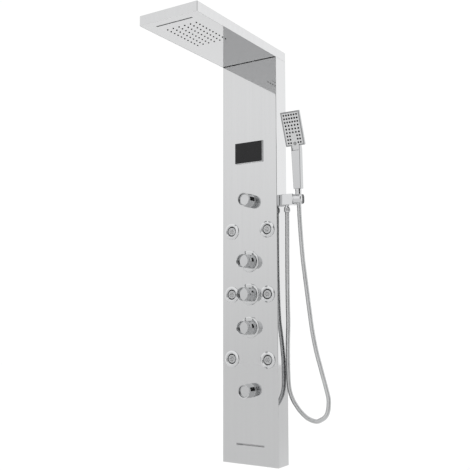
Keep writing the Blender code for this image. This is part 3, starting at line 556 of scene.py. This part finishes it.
def rain_underside(steel, rubber):
    low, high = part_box("rain_plate")
    plate = add_piece("rain_plate_sheet", rounded_box(low, high, 0.0004, 2), steel)
    tools = [round_hole((x, y, low.z), (0, 0, -1), 0.0025, 0.004, 32, 0.0003) for x, y in rain_places()]
    slot_low, slot_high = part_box("waterfall_outlet")
    wall, lip_wall = 0.004, 0.0052
    lip = rounded_box((slot_low.x + wall, slot_low.y + lip_wall, low.z - 0.01),
                      (slot_high.x - wall, slot_high.y - lip_wall, high.z + 0.01), 0.0022, 4,
                      pick=lambda mid, direction: abs(direction.z) > 0.001)
    combine(plate, [join_meshes(tools), lip])
    settle(plate, "panel", "polished_steel", "rain_plate")

    mat_low, mat_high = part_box("rain_nozzle_mat")
    sheet_low = high.z + GAP
    parts = [rounded_box((mat_low.x, mat_low.y, sheet_low), mat_high, 0.0005, 2)]
    stand = low.z - mat_low.z
    for x, y in rain_places():
        profile = nipple_profile(-(sheet_low - low.z) - 0.0004, 0.0021, stand, 0.00215)
        parts.append(turned_mesh(profile, 20, along((x, y, low.z), (0, 0, -1))))
    mat = add_piece("rain_nipples", join_meshes(parts), rubber, angle=50)
    settle(mat, "panel", "silicone", "rain_nozzle_mat")


# ---- softened copies of the folded, cast and moulded CAD pieces ---------------------------------------
def softened(node, body, slot, finish, width=0.0004, angle=30):
    """The CAD piece's own shape with its flat faces joined up and its edges rounded."""
    bm = bmesh.new()
    bm.from_mesh(frame["nodes"][node].data)
    bmesh.ops.remove_doubles(bm, verts=bm.verts, dist=2e-6)
    bmesh.ops.dissolve_limit(bm, angle_limit=radians(1.0), verts=bm.verts, edges=bm.edges)
    piece = add_piece(f"{node}_soft", bm, finish)
    bevel = piece.modifiers.new("edges", "BEVEL")
    bevel.width = width
    bevel.segments = 2
    bevel.limit_method = "ANGLE"
    bevel.angle_limit = radians(angle)
    bake(piece)
    settle(piece, body, slot, node)


# ---- display -----------------------------------------------------------------------------------------
def display(chrome, glass, frame_ink):
    """Chrome rim, box behind the panel, and the black window with its darker field."""
    low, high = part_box("display_housing")
    glass_low, glass_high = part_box("display_glass")
    rim = rounded_box((low.x, low.y, low.z), (high.x, FRONT - GAP, high.z), 0.0007, 3)
    rim = add_piece("display_rim", rim, chrome)
    seat = 0.0015
    combine(rim, [rounded_box((low.x + seat, low.y - 0.01, low.z + seat),
                              (high.x - seat, glass_high.y + GAP, high.z - seat), 0.0008, 2)])
    settle(rim, "panel", "chrome", "display_housing")
    neck = 0.0025
    housing = rounded_box((low.x + neck, FRONT - 0.0002, low.z + neck),
                          (high.x - neck, high.y, high.z - neck), 0.002, 3)
    settle(add_piece("display_box", housing, frame_ink), "panel", "water_plastic")

    window = add_piece("display_window", rounded_box(glass_low, glass_high, 0.0005, 3), glass)
    settle(window, "panel", "black_glass", "display_glass")
    margin = 0.0022
    border = box_mesh((glass_low.x + margin, glass_low.y - 0.00005, glass_low.z + margin),
                      (glass_high.x - margin, glass_low.y + 0.0005, glass_high.z - margin))
    inner = add_piece("display_field", border, window_glass("display_field"))
    settle(inner, "panel", "black_glass")


# ---- valves, knobs, levers ---------------------------------------------------------------------------
def front_of(node):
    spot = middle(node)
    return at(spot.x, FRONT, spot.z) @ OUTWARD


def round_size(node):
    """Radius of a round node in the front, how far it stands out and how far back it ends (below 0)."""
    low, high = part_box(node)
    return (high.x - low.x) / 2, FRONT - low.y, FRONT - high.y


def end_knob(name, chrome):
    """Round knob: dished face inside a fine ring, rounded rim, stepped flares and a foot ring."""
    radius, reach, _ = round_size(name)
    front = radius - 0.0010
    profile = soft_profile([
        (0.0, reach - 0.0009), (front * 0.78, reach - 0.0005, 0.0005),
        (front * 0.80, reach - 0.0012, 0.0002), (front * 0.83, reach - 0.0012, 0.0002),
        (front * 0.85, reach, 0.0004), (front - 0.0016, reach, 0.0010),
        (front, reach - 0.0018, 0.0012), (front, 0.0375, 0.0003), (front - 0.0024, 0.0365, 0.0003),
        (front - 0.0024, 0.0350, 0.0010), (front, 0.0265, 0.0003), (front - 0.0022, 0.0255, 0.0003),
        (front - 0.0022, 0.0240, 0.0010), (front + 0.0002, 0.0165, 0.0003), (front - 0.0020, 0.0155, 0.0003),
        (front - 0.0020, 0.0140, 0.0010), (radius - 0.0002, 0.0056, 0.0006),
        (radius - 0.0008, 0.0050, 0.0002), (radius - 0.0008, 0.0040, 0.0002), (radius, 0.0034, 0.0002),
        (radius, 0.0010, 0.0004), (0.0150, 0.0010, 0.0003), (0.0150, 0.0100), (0.0050, 0.0100),
        (0.0050, -0.0150), (0.0, -0.0150),
    ])
    return add_piece(f"{name}_cap", turned_mesh(profile, 96, front_of(name)), chrome)


def lever_knob(name, chrome):
    """Knob of a valve: flat polished face, rounded rim and two flared waists."""
    radius, reach, _ = round_size(name)
    base = 0.0038
    profile = soft_profile([
        (0.0, reach), (radius - 0.0024, reach, 0.0016), (radius - 0.0006, reach - 0.0022, 0.0014),
        (radius - 0.0006, 0.0440, 0.0003), (radius - 0.0022, 0.0428, 0.0004),
        (radius - 0.0022, 0.0405, 0.0010), (radius - 0.0002, 0.0345, 0.0010),
        (radius - 0.0002, 0.0205, 0.0003), (radius - 0.0022, 0.0192, 0.0004),
        (radius - 0.0022, 0.0165, 0.0010), (radius, 0.0098, 0.0010), (radius, base, 0.0005),
        (0.0150, base, 0.0003), (0.0150, 0.0100), (0.0050, 0.0100), (0.0050, -0.0150), (0.0, -0.0150),
    ])
    return add_piece(f"{name}_cap", turned_mesh(profile, 96, front_of(name)), chrome)


def lever_pin(name, chrome):
    low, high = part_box(name)
    mid = (low + high) / 2
    radius = (high.x - low.x) / 2
    profile = soft_profile([
        (0.0, low.z), (radius, low.z), (radius, high.z - 0.0062, 0.0004),
        (radius * 0.72, high.z - 0.0056, 0.0004), (radius * 0.72, high.z - 0.0048, 0.0004),
        (radius, high.z - 0.0042, 0.0006), (radius, high.z, 0.0022), (0.0, high.z),
    ], 6)
    return add_piece(f"{name}_grip", turned_mesh(profile, 32, at(mid.x, mid.y, 0)), chrome)


def flange(name, chrome):
    radius, top, _ = round_size(name)
    inner = 0.0130
    profile = soft_profile([
        (inner, GAP), (radius, GAP), (radius, 0.0014, 0.0006), (radius - 0.0030, top, 0.0030),
        (inner, top, 0.0003),
    ], 6)
    return add_piece(f"{name}_disc", turned_mesh(profile, 96, front_of(name)), chrome)


def valve(name, brass):
    """Round cartridge body: bore for the spindle, collar in the panel's hole and a grooved back."""
    radius, collar, back = round_size(name)
    bore = 0.0054
    profile = [
        (0.0, -0.0170), (bore, -0.0170), (bore, collar), (0.0120, collar), (0.0125, collar - 0.0006),
        (0.0125, -SHEET - GAP), (radius, -SHEET - GAP), (radius, -0.0060), (radius - 0.0015, -0.0066),
        (radius - 0.0015, -0.0080), (radius - 0.0004, -0.0086), (radius - 0.0004, -0.0150),
        (radius - 0.0020, -0.0156), (radius - 0.0020, -0.0172), (radius - 0.0006, -0.0178),
        (radius - 0.0006, back + 0.0010), (radius - 0.0016, back), (0.0, back),
    ]
    return add_piece(f"{name}_body", turned_mesh(profile, 48, front_of(name)), brass)


def controls(chrome, soft_chrome, brass):
    for name in CONTROLS:
        lever = name in ("hot", "jet", "cold")
        knob = (lever_knob if lever else end_knob)(f"{name}_knob", chrome)
        settle(knob, f"{name}_control", "chrome", f"{name}_knob")
        body = f"{name}_valve" if lever else f"{name}_diverter"
        settle(valve(body, brass), "panel", "brass", body)
        if lever:
            settle(lever_pin(f"{name}_pin", chrome), f"{name}_control", "chrome", f"{name}_pin")
            settle(flange(f"{name}_flange", soft_chrome), "panel", "chrome", f"{name}_flange")


# ---- body jets ---------------------------------------------------------------------------------------
def jet_collar(name, chrome):
    """Round collar with a stepped face and a threaded tail behind the panel."""
    radius, reach, tail = round_size(name)
    bore, crest, thread_top = 0.0149, 0.0175, -0.0030
    points = [
        (0.0, tail + 0.003), (bore, tail + 0.003), (bore, -0.0040), (bore + 0.0001, reach - 0.0044, 0.0006),
        (bore + 0.0016, reach - 0.0014, 0.0010), (bore + 0.0026, reach - 0.0012, 0.0004),
        (bore + 0.0036, reach, 0.0008), (radius - 0.0048, reach, 0.0020), (radius, reach - 0.0030, 0.0024),
        (radius, GAP), (crest, GAP), (crest, thread_top),
    ]
    threads = 14
    pitch = (thread_top - (tail + 0.0012)) / threads
    for k in range(threads):
        points.append((0.0167, thread_top - (k + 0.5) * pitch))
        points.append((crest, thread_top - (k + 1.0) * pitch))
    points += [(0.0168, tail), (0.0, tail)]
    return add_piece(f"{name}_collar", turned_mesh(soft_profile(points), 64, front_of(name)), chrome)


BALL_RADIUS = 0.0145
BALL_FLAT, BALL_BACK = radians(34), radians(-48)


def jet_ball_mesh():
    """Ball nozzle with a flat face, drawn about its own centre with +Z outwards."""
    radius, flat, back = BALL_RADIUS, BALL_FLAT, BALL_BACK
    rings = 14
    points = [(0.0, radius * sin(flat)), (radius * cos(flat) - 0.0008, radius * sin(flat))]
    for k in range(rings + 1):
        angle = flat + (back - flat) * k / rings
        points.append((radius * cos(angle), radius * sin(angle)))
    points.append((0.0, radius * sin(back)))
    return turned_mesh(points, 48)


def jet_nozzles(insert, dark):
    """Six swivelling nozzles that share one drilled ball and its dark jet tips."""
    face = BALL_RADIUS * sin(BALL_FLAT)
    master = add_piece("jet_master", jet_ball_mesh(), insert)
    holes = [(0.0, 0.0)]
    for count, ring, offset in ((6, 0.0050, 0.0), (12, 0.0086, pi / 12)):
        angles = [offset + tau * k / count for k in range(count)]
        holes += [(ring * cos(angle), ring * sin(angle)) for angle in angles]
    drills = [
        turned_mesh([(0.0, face - 0.003), (0.0012, face - 0.003), (0.0012, face - 0.0003),
                     (0.0017, face + 0.0003), (0.0, face + 0.0003)], 16, at(x, y, 0))
        for x, y in holes
    ]
    combine(master, [join_meshes(drills)])
    pips = [turned_mesh([(0.0, face - 0.0026), (0.0011, face - 0.0026), (0.0016, face + 0.0002),
                         (0.0, face + 0.0002)], 12, at(x, y, 0)) for x, y in holes[:7]]
    tips = add_piece("jet_tips_master", join_meshes(pips), dark)
    for number in JETS:
        place = Matrix.Translation(JOINTS[f"jet_{number}_tilt"]["pos_m"]) @ OUTWARD
        for kind, source, nodes in (("ball", master, [f"jet_nozzle_{number}"]), ("tips", tips, [])):
            piece = bpy.data.objects.new(f"jet_{kind}_{number}", source.data.copy())
            bpy.context.scene.collection.objects.link(piece)
            piece.data.transform(place)
            shade(piece)
            settle(piece, f"jet_{number}", "jet_insert", *nodes)
    bpy.data.objects.remove(master)
    bpy.data.objects.remove(tips)


# ---- outlet block, cradle and nuts -------------------------------------------------------------------
def rod_mesh(radius, low, high, sides, matrix):
    """Plain round rod along +Z of its placement."""
    return turned_mesh([(0.0, low), (radius, low), (radius, high), (0.0, high)], sides, matrix)


def outlet_block(chrome):
    """Block on the side wall, with the outlet's neck below, a stub in the wall and the pivot's socket."""
    low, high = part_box("holder_block")
    side = PANEL_HIGH.x
    mid = Vector(((side + high.x) / 2, (low.y + high.y) / 2, CRADLE_CENTRE.z))
    half = Vector(((high.x - side - GAP) / 2, (high.y - low.y) / 2, 0.017))
    start = Vector((side + GAP, mid.y - half.y, mid.z - half.z))
    finish = Vector((high.x, mid.y + half.y, mid.z + half.z))
    block = add_piece("outlet_block", rounded_box(start, finish, 0.0015, 4), chrome)
    nut = middle("outlet_nut")
    neck_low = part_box("outlet_nut")[1].z + GAP
    neck_high = start.z + 0.004
    neck = turned_mesh([
        (0.0, neck_low), (0.0060, neck_low), (0.0065, neck_low + 0.0006), (0.0065, neck_high),
        (0.0, neck_high),
    ], 40, at(nut.x, nut.y, 0))
    across = along((0, mid.y, mid.z), (1, 0, 0))
    combine(block, [neck, rod_mesh(0.0100, low.x, side + 0.004, 40, across)], "UNION")
    combine(block, [rod_mesh(PIVOT_RADIUS, high.x - 0.018, high.x + 0.01, 40, across)])
    settle(block, "panel", "chrome", "holder_block")


def cradle_cup(chrome):
    """Swivelling cup: rounded barrel with a groove, bored for the cone nut and slotted towards +X."""
    low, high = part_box("cradle")
    radius = (high.z - low.z) / 2
    across = along((0, CRADLE_CENTRE.y, CRADLE_CENTRE.z), (1, 0, 0))
    profile = soft_profile([
        (0.0, low.x), (radius, low.x, 0.0010), (radius, low.x + 0.0040, 0.0002),
        (radius - 0.0008, low.x + 0.0044), (radius - 0.0008, low.x + 0.0054),
        (radius, low.x + 0.0058, 0.0002), (radius, high.x, 0.0075), (0.0, high.x),
    ], 5)
    cup = add_piece("cradle_cup", turned_mesh(profile, 72, across), chrome)
    reach, clear = 0.022, 0.0005
    bottom = CONE_FOOT + clear + CONE_GROW * (-CONE_LOW - reach)
    top = CONE_FOOT + clear + CONE_GROW * (-CONE_LOW + reach)
    bore = turned_mesh([(0.0, -reach), (bottom, -reach), (top, reach), (0.0, reach)], 56, HANDLE)
    slot = rounded_box((0, -0.0075, -0.030), (0.030, 0.0075, 0.030), 0.0006, 2, HANDLE)
    combine(cup, [bore, slot, rod_mesh(PIVOT_RADIUS, low.x - 0.01, low.x + 0.0018, 32, across)])
    settle(cup, "cradle_swivel", "chrome", "cradle")


def grip_nut_mesh(low, high, radius, ribs, matrix):
    """Hand-tight nut with fine ribs round its middle."""
    height = high - low
    sides = ribs * 6
    bm = turned_mesh(soft_profile([
        (0.0, low), (radius - 0.0022, low), (radius - 0.0006, low + height * 0.16, 0.0006),
        (radius - 0.0001, low + height * 0.24, 0.0004), (radius - 0.0001, low + height * 0.76, 0.0004),
        (radius - 0.0006, low + height * 0.82, 0.0004), (radius - 0.0006, high, 0.0006), (0.0, high),
    ]), sides)
    for vert in bm.verts:
        share = (vert.co.z - low) / height
        if 0.22 < share < 0.78 and vert.co.xy.length > radius - 0.0004:
            angle = vert.co.xy.angle_signed(Vector((1, 0)))
            dip = 0.00045 * max(0.0, cos(ribs * angle))
            vert.co.xy *= 1 - dip / radius
    bm.transform(matrix)
    return bm


def nuts(chrome):
    """Ribbed nut under the outlet block, and the smooth cone with one groove that stands in the cradle."""
    low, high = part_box("outlet_nut")
    mid = (low + high) / 2
    radius = (high.x - low.x) / 2
    grip = grip_nut_mesh(low.z, high.z, radius, 24, at(mid.x, mid.y, 0))
    settle(add_piece("outlet_grip", grip, chrome, angle=50), "panel", "chrome", "outlet_nut")
    start, first, last = CONE_LOW, CONE_FOOT, CONE_TOP
    profile = soft_profile([
        (0.0, start), (first - 0.0004, start, 0.0003), (first, start + 0.0008, 0.0004),
        (first + CONE_GROW * 0.0400, start + 0.0400, 0.0001), (last - 0.0012, start + 0.0404),
        (last - 0.0012, start + 0.0412), (last - 0.0001, start + 0.0416, 0.0002), (last, CONE_HIGH, 0.0004),
        (0.0, CONE_HIGH),
    ])
    cone = add_piece("cone_grip", turned_mesh(profile, 64, HANDLE), chrome)
    settle(cone, "hand_shower", "chrome", "cone_nut")


# ---- hand shower -------------------------------------------------------------------------------------
SPRAY_LEAN = radians(21.0)
SPRAY_HALF = 0.0325
SPRAY_LENGTH = 0.107
SPRAY_THICK = 0.009
SPRAY_RIM = 0.004
TAB_HALF = 0.013
TAB_LENGTH = 0.0135
TAB_RIM = 0.002
BUTTON_UP = 0.0075
BUTTON_RADIUS = 0.0050
SPRAY = at(CRADLE_CENTRE.x, -0.0483, 0.9757 - HANG_HEIGHT) @ Matrix.Rotation(SPRAY_LEAN, 4, "X")
DEEPER = SPRAY @ Matrix.Rotation(-pi / 2, 4, "X")


def rounded_section(half_x, front, back, height, corner, steps=6):
    """Rounded rectangle in the handle's own frame, front towards -Y."""
    centres = [
        (half_x - corner, front + corner, -pi / 2), (half_x - corner, back - corner, 0.0),
        (-half_x + corner, back - corner, pi / 2), (-half_x + corner, front + corner, pi),
    ]
    return [
        Vector((x + corner * cos(angle), y + corner * sin(angle), height))
        for x, y, start in centres
        for angle in [start + pi / 2 * k / steps for k in range(steps + 1)]
    ]


def loft_mesh(sections, matrix):
    bm = bmesh.new()
    rings = [[bm.verts.new(corner) for corner in ring] for ring in sections]
    for lower, upper in zip(rings, rings[1:]):
        for k, corner in enumerate(lower):
            after = (k + 1) % len(lower)
            bm.faces.new((corner, lower[after], upper[after], upper[k]))
    bm.faces.new(rings[0])
    bm.faces.new(rings[-1])
    bm.transform(matrix)
    return bm


def handle_sections():
    """Handle from its rounded foot to where it bends forward and runs out under the head."""
    stations = [
        (0.0318, 0.0119, -0.0087, 0.0102, 0.0022), (0.0322, 0.0124, -0.0092, 0.0107, 0.0023),
        (0.0330, 0.0127, -0.0095, 0.0110, 0.0024), (0.0340, 0.0127, -0.0095, 0.0110, 0.0024),
        (0.0800, 0.0136, -0.0095, 0.0109, 0.0024), (0.1300, 0.0146, -0.0095, 0.0106, 0.0024),
        (0.1500, 0.0151, -0.0095, 0.0104, 0.0024), (0.1580, 0.0152, -0.0097, 0.0097, 0.0024),
        (0.1660, 0.0152, -0.0106, 0.0070, 0.0024), (0.1740, 0.0152, -0.0118, 0.0034, 0.0024),
        (0.1820, 0.0152, -0.0136, -0.0014, 0.0022), (0.1900, 0.0150, -0.0162, -0.0066, 0.0018),
        (0.1980, 0.0146, -0.0190, -0.0118, 0.0014),
    ]
    return [
        rounded_section(half, front, back, height, corner)
        for height, half, front, back, corner in stations
    ]


def spray_outline(inset, tab_inset):
    """Corners (x, z) of the head with its tab, all moved inwards by the inset."""
    half, tab = SPRAY_HALF - inset, TAB_HALF + TAB_RIM - tab_inset
    low, high = inset, SPRAY_LENGTH - inset
    foot = -TAB_LENGTH - TAB_RIM + tab_inset
    return [
        (-half, high), (half, high), (half, low), (tab, low),
        (tab, foot), (-tab, foot), (-tab, low), (-half, low),
    ]


def spray_places():
    """Nozzle places (x, z) on the spray face: rows of six, then of five, then of four beside the button."""
    places = []
    for row in range(9):
        height = SPRAY_LENGTH - 0.0105 - row * 0.0108
        if row < 3:
            across = [(k - 2.5) * 0.0088 for k in range(6)]
        elif row < 6:
            across = [(k - 2) * 0.0105 for k in range(5)]
        else:
            across = [-0.0210, -0.0125, 0.0125, 0.0210]
        places += [(x, height) for x in across]
    return places


def rim_frame_mesh(front, back, chamfer):
    """Frame between the head's outline and its face, chamfered on its front."""
    bm = bmesh.new()
    outer, inner = spray_outline(0.0002, 0.0002), spray_outline(SPRAY_RIM, TAB_RIM)
    inner[2:4] = [(inner[2][0], SPRAY_RIM), (inner[3][0], SPRAY_RIM)]
    inner[6:8] = [(inner[6][0], SPRAY_RIM), (inner[7][0], SPRAY_RIM)]
    outer_front = spray_outline(0.0002 + chamfer, 0.0002 + chamfer)
    layers = [
        [(x, back, z) for x, z in outer], [(x, front + chamfer, z) for x, z in outer],
        [(x, front, z) for x, z in outer_front], [(x, front, z) for x, z in inner],
        [(x, back, z) for x, z in inner],
    ]
    rings = [[bm.verts.new(corner) for corner in layer] for layer in layers]
    for first, second in zip(rings, rings[1:] + rings[:1]):
        for k in range(len(first)):
            after = (k + 1) % len(first)
            bm.faces.new((first[k], first[after], second[after], second[k]))
    bm.transform(SPRAY)
    return bm


def hand_shower(chrome, painted_shade_side_finish, rim_grey, face_finish, rubber):
    """Handle and head in one casing, with the rim, the face plate, its nipples and the push button."""
    body = add_piece("shower_handle", loft_mesh(handle_sections(), HANDLE), chrome, angle=40)
    case = rounded_box((-SPRAY_HALF, 0.0005, 0), (SPRAY_HALF, SPRAY_THICK, SPRAY_LENGTH), 0.0016, 4, SPRAY)
    edge = TAB_HALF + TAB_RIM
    tab = rounded_box((-edge, 0.0005, -TAB_LENGTH - TAB_RIM), (edge, SPRAY_THICK, 0.006), 0.0010, 3, SPRAY)
    combine(body, [case, tab], "UNION")
    inner = SPRAY_HALF - SPRAY_RIM
    recess = box_mesh((-inner, -0.01, SPRAY_RIM), (inner, 0.0036, SPRAY_LENGTH - SPRAY_RIM), SPRAY)
    tab_recess = box_mesh((-TAB_HALF, -0.01, -TAB_LENGTH), (TAB_HALF, 0.0036, SPRAY_RIM + 0.001), SPRAY)
    combine(body, [recess, tab_recess])
    # Faces with a hole become triangles here, so that they are cut alike at every angle of the shower.
    whole = bmesh.new()
    whole.from_mesh(body.data)
    bmesh.ops.triangulate(whole, faces=[face for face in whole.faces if len(face.verts) > 4])
    whole.to_mesh(body.data)
    whole.free()
    # Painted shade: the faces turned to the handle's right get a darker, shaded copy of the chrome as their
    # second material.
    body.data.materials.append(painted_shade_side_finish)
    right = HANDLE.to_3x3() @ Vector((1, 0, 0))
    for face in body.data.polygons:
        face.material_index = int(face.normal.dot(right) > 0.8)
    settle(body, "hand_shower", "chrome", "hand_shower_body")

    rim = add_piece("spray_rim", rim_frame_mesh(-0.0001, 0.0012, 0.0007), rim_grey)
    settle(rim, "hand_shower", "spray_face")

    clear = 0.0003
    corners = spray_outline(SPRAY_RIM + clear, TAB_RIM + clear)
    bm = bmesh.new()
    front = [bm.verts.new((x, 0.0001, z)) for x, z in corners]
    bm.faces.new(front)
    moved = bmesh.ops.extrude_face_region(bm, geom=list(bm.faces))["geom"]
    bmesh.ops.translate(bm, verts=[v for v in moved if isinstance(v, bmesh.types.BMVert)], vec=(0, 0.0015, 0))
    bmesh.ops.recalc_face_normals(bm, faces=bm.faces)
    bm.transform(SPRAY)
    face = add_piece("spray_plate", bm, face_finish)
    drills = [
        turned_mesh([(0.0, -0.0004), (0.0033, -0.0004), (0.0029, 0.0004), (0.0029, 0.004), (0.0, 0.004)], 24,
                    DEEPER @ at(x, -z, 0))
        for x, z in spray_places()
    ]
    drills.append(rod_mesh(BUTTON_RADIUS + 0.0004, -0.004, 0.004, 40, DEEPER @ at(0, -BUTTON_UP, 0)))
    combine(face, [join_meshes(drills)])
    settle(face, "hand_shower", "spray_face", "spray_face")

    far = SPRAY_LENGTH - SPRAY_RIM - GAP
    parts = [box_mesh((-inner + GAP, 0.0019, BUTTON_UP + 0.006), (inner - GAP, 0.0033, far), SPRAY)]
    for x, z in spray_places():
        profile = nipple_profile(-0.0024, 0.0028, 0.0009, 0.0028)
        parts.append(turned_mesh(profile, 18, DEEPER @ at(x, -z, 0) @ Matrix.Rotation(pi, 4, "X")))
    mat = add_piece("spray_nipples", join_meshes(parts), rubber, angle=50)
    settle(mat, "hand_shower", "silicone", "spray_nozzles")

    button = turned_mesh(soft_profile([
        (0.0, -0.0015), (0.0043, -0.0013, 0.0008), (BUTTON_RADIUS, -0.0006, 0.0005), (BUTTON_RADIUS, 0.0019),
        (0.0, 0.0019),
    ]), 40, DEEPER @ at(0, -BUTTON_UP, 0))
    settle(add_piece("push_button", button, rim_grey), "mode_button", "chrome", "mode_button")


# ---- floor, lights, world ----------------------------------------------------------------------------
def floor(finish):
    bm = bmesh.new()
    bmesh.ops.create_grid(bm, x_segments=1, y_segments=1, size=8.0)
    ground = add_piece("floor", bm, finish, at(0, 0, FOOT - 0.30), recalc=False)


def ceiling_light(name, low, high, height, power):
    """Soft box that hangs over a rectangle of the floor and shines straight down."""
    data = bpy.data.lights.new(name, "AREA")
    data.shape = "RECTANGLE"
    data.size, data.size_y = high[0] - low[0], high[1] - low[1]
    data.energy = power
    data.spread = radians(45)
    lamp = bpy.data.objects.new(name, data)
    lamp.location = ((low[0] + high[0]) / 2, (low[1] + high[1]) / 2, height)
    lamp.visible_glossy = False
    lamp.visible_camera = False
    bpy.context.scene.collection.objects.link(lamp)


def studio_world():
    """White studio, greyer towards the floor in front. Gloss also reflects a dark corner at the right."""
    world = bpy.data.worlds.new("studio")
    bpy.context.scene.world = world
    world.use_nodes = True
    tree = world.node_tree
    background = tree.nodes["Background"]
    coordinates = tree.nodes.new("ShaderNodeTexCoord")
    direction = coordinates.outputs["Generated"]

    def facing(vector, near, far, value_near, value_far):
        """A smooth step by how far a direction turns away from the given one."""
        dot = tree.nodes.new("ShaderNodeVectorMath")
        dot.operation = "DOT_PRODUCT"
        tree.links.new(direction, dot.inputs[0])
        dot.inputs[1].default_value = Vector(vector).normalized()
        step = tree.nodes.new("ShaderNodeMapRange")
        step.interpolation_type = "SMOOTHSTEP"
        ends = {"From Min": far, "From Max": near, "To Min": value_far, "To Max": value_near}
        for socket, value in ends.items():
            step.inputs[socket].default_value = value
        tree.links.new(dot.outputs["Value"], step.inputs["Value"])
        return step.outputs["Result"]

    def times(a, b):
        product = tree.nodes.new("ShaderNodeMath")
        product.operation = "MULTIPLY"
        tree.links.new(a, product.inputs[0])
        tree.links.new(b, product.inputs[1])
        return product.outputs["Value"]

    height = facing((0, 0, 1), 0.30, -0.22, 1.10, 0.80)
    behind = facing((0.0, 1.0, 0.0), 0.15, -0.15, 1.0, 0.0)
    mix = tree.nodes.new("ShaderNodeMix")
    tree.links.new(behind, mix.inputs["Factor"])
    tree.links.new(height, mix.inputs["A"])
    mix.inputs["B"].default_value = 1.02
    right = facing((0.60, 0.80, 0.0), cos(radians(10)), cos(radians(45)), 1.24, 1.0)
    corner_at = (sin(radians(62)), -cos(radians(62)), 0.34)
    corner = facing(corner_at, cos(radians(24)), cos(radians(31)), 0.02, 1.0)
    in_gloss = tree.nodes.new("ShaderNodeMix")
    tree.links.new(tree.nodes.new("ShaderNodeLightPath").outputs["Is Glossy Ray"], in_gloss.inputs["Factor"])
    in_gloss.inputs["A"].default_value = 1.0
    tree.links.new(corner, in_gloss.inputs["B"])
    strength = times(times(mix.outputs["Result"], right), in_gloss.outputs["Result"])
    tree.links.new(strength, background.inputs["Strength"])
    background.inputs["Color"].default_value = (1.0, 1.0, 1.0, 1.0)


CEILING_LOW, CEILING_HIGH = (-8.5, -0.2), (0.75, 8.5)


def main():
    add_camera()
    fine = {"grain": 0.02, "scale": 300.0}
    steel = metal("polished_sheet", (0.596, 0.599, 0.604), (0.612, 0.615, 0.620), 0.035, 0.060, wave=0.010,
                  grain=0.004, stretch=(6, 6, 1), scale=60.0, drift=(7, 7, 0.12))
    chrome = metal("bright_chrome", (0.640, 0.645, 0.652), (0.655, 0.660, 0.667), 0.030, 0.055, grain=0.004)
    hose_steel = metal("hose_steel", (0.50, 0.505, 0.51), (0.56, 0.565, 0.57), 0.16, 0.26, **fine)
    knob_chrome = metal("knob_chrome", (0.555, 0.560, 0.566), (0.580, 0.585, 0.592), 0.035, 0.060,
                        grain=0.006)
    shower_chrome = metal("shower_chrome", (0.590, 0.595, 0.602), (0.605, 0.610, 0.617), 0.035, 0.060,
                          grain=0.004)
    # Painted shade: a darker copy of the shower chrome, for the handle's right-hand faces.
    shaded_shower_side = metal("shaded_shower_side", (0.47, 0.475, 0.48), (0.49, 0.495, 0.50), 0.05, 0.09, grain=0.004)
    flange_chrome = metal("flange_chrome", (0.59, 0.595, 0.60), (0.61, 0.615, 0.62), 0.12, 0.18, grain=0.004)
    insert = metal("satin_insert", (0.55, 0.555, 0.56), (0.60, 0.605, 0.61), 0.18, 0.28, **fine)
    face_finish = metal("satin_face", (0.66, 0.665, 0.67), (0.69, 0.695, 0.70), 0.22, 0.32, **fine)
    rim_grey = metal("rim_grey", (0.33, 0.335, 0.34), (0.36, 0.365, 0.37), 0.30, 0.40, **fine)
    rubber = plastic("dark_silicone", (0.006, 0.006, 0.007), (0.012, 0.012, 0.013), 0.45, 0.65, 0.15,
                     shine=0.15)
    grey = plastic("moulded_grey", (0.42, 0.43, 0.44), (0.50, 0.51, 0.52), 0.40, 0.60, 0.20)
    ink = plastic("black_housing", (0.020, 0.020, 0.022), (0.035, 0.035, 0.037), 0.40, 0.60, 0.20)
    brass = cast_brass("cast_brass")
    galvanised = spangled_steel("galvanised")
    glass = window_glass("display_glass")
    floor_finish = plastic("pale_floor", (0.79, 0.79, 0.79), (0.81, 0.81, 0.81), 0.70, 0.85, 0.02, 30.0)

    column_panel(steel)
    head_cover(steel)
    rain_underside(steel, rubber)
    display(chrome, glass, ink)
    controls(knob_chrome, flange_chrome, brass)
    for number in JETS:
        settle(jet_collar(f"jet_body_{number}", chrome), "panel", "chrome", f"jet_body_{number}")
    jet_nozzles(insert, ink)
    outlet_block(chrome)
    cradle_cup(chrome)
    nuts(chrome)
    hand_shower(shower_chrome, shaded_shower_side, rim_grey, face_finish, rubber)
    add_hose(hose_steel)

    softened("spout_outlet", "panel", "polished_steel", steel, 0.0003)
    for node in ("upper_hook_bar", "lower_hook_bar", "upper_wall_bracket", "lower_wall_bracket"):
        softened(node, "panel", "bracket_steel", galvanised, 0.0003)
    for node in ("rain_chamber", "waterfall_outlet"):
        softened(node, "panel", "water_plastic", grey, 0.0008)
    for node in ("rain_pipe", "waterfall_pipe", "jet_pipes", "hand_pipe", "spout_pipe"):
        softened(node, "panel", "water_plastic", grey, 0.0004, 60)
    for node in ("mixing_manifold", "hot_inlet", "cold_inlet", "holder_nut"):
        softened(node, "panel", "brass", brass, 0.0004, 40)
    softened("cradle_pivot", "panel", "bracket_steel", galvanised, 0.0003, 40)

    floor(floor_finish)
    studio_world()
    ceiling_light("overhead", CEILING_LOW, CEILING_HIGH, 0.9, 66.0)
    bpy.context.scene.view_settings.view_transform = "Standard"


main()
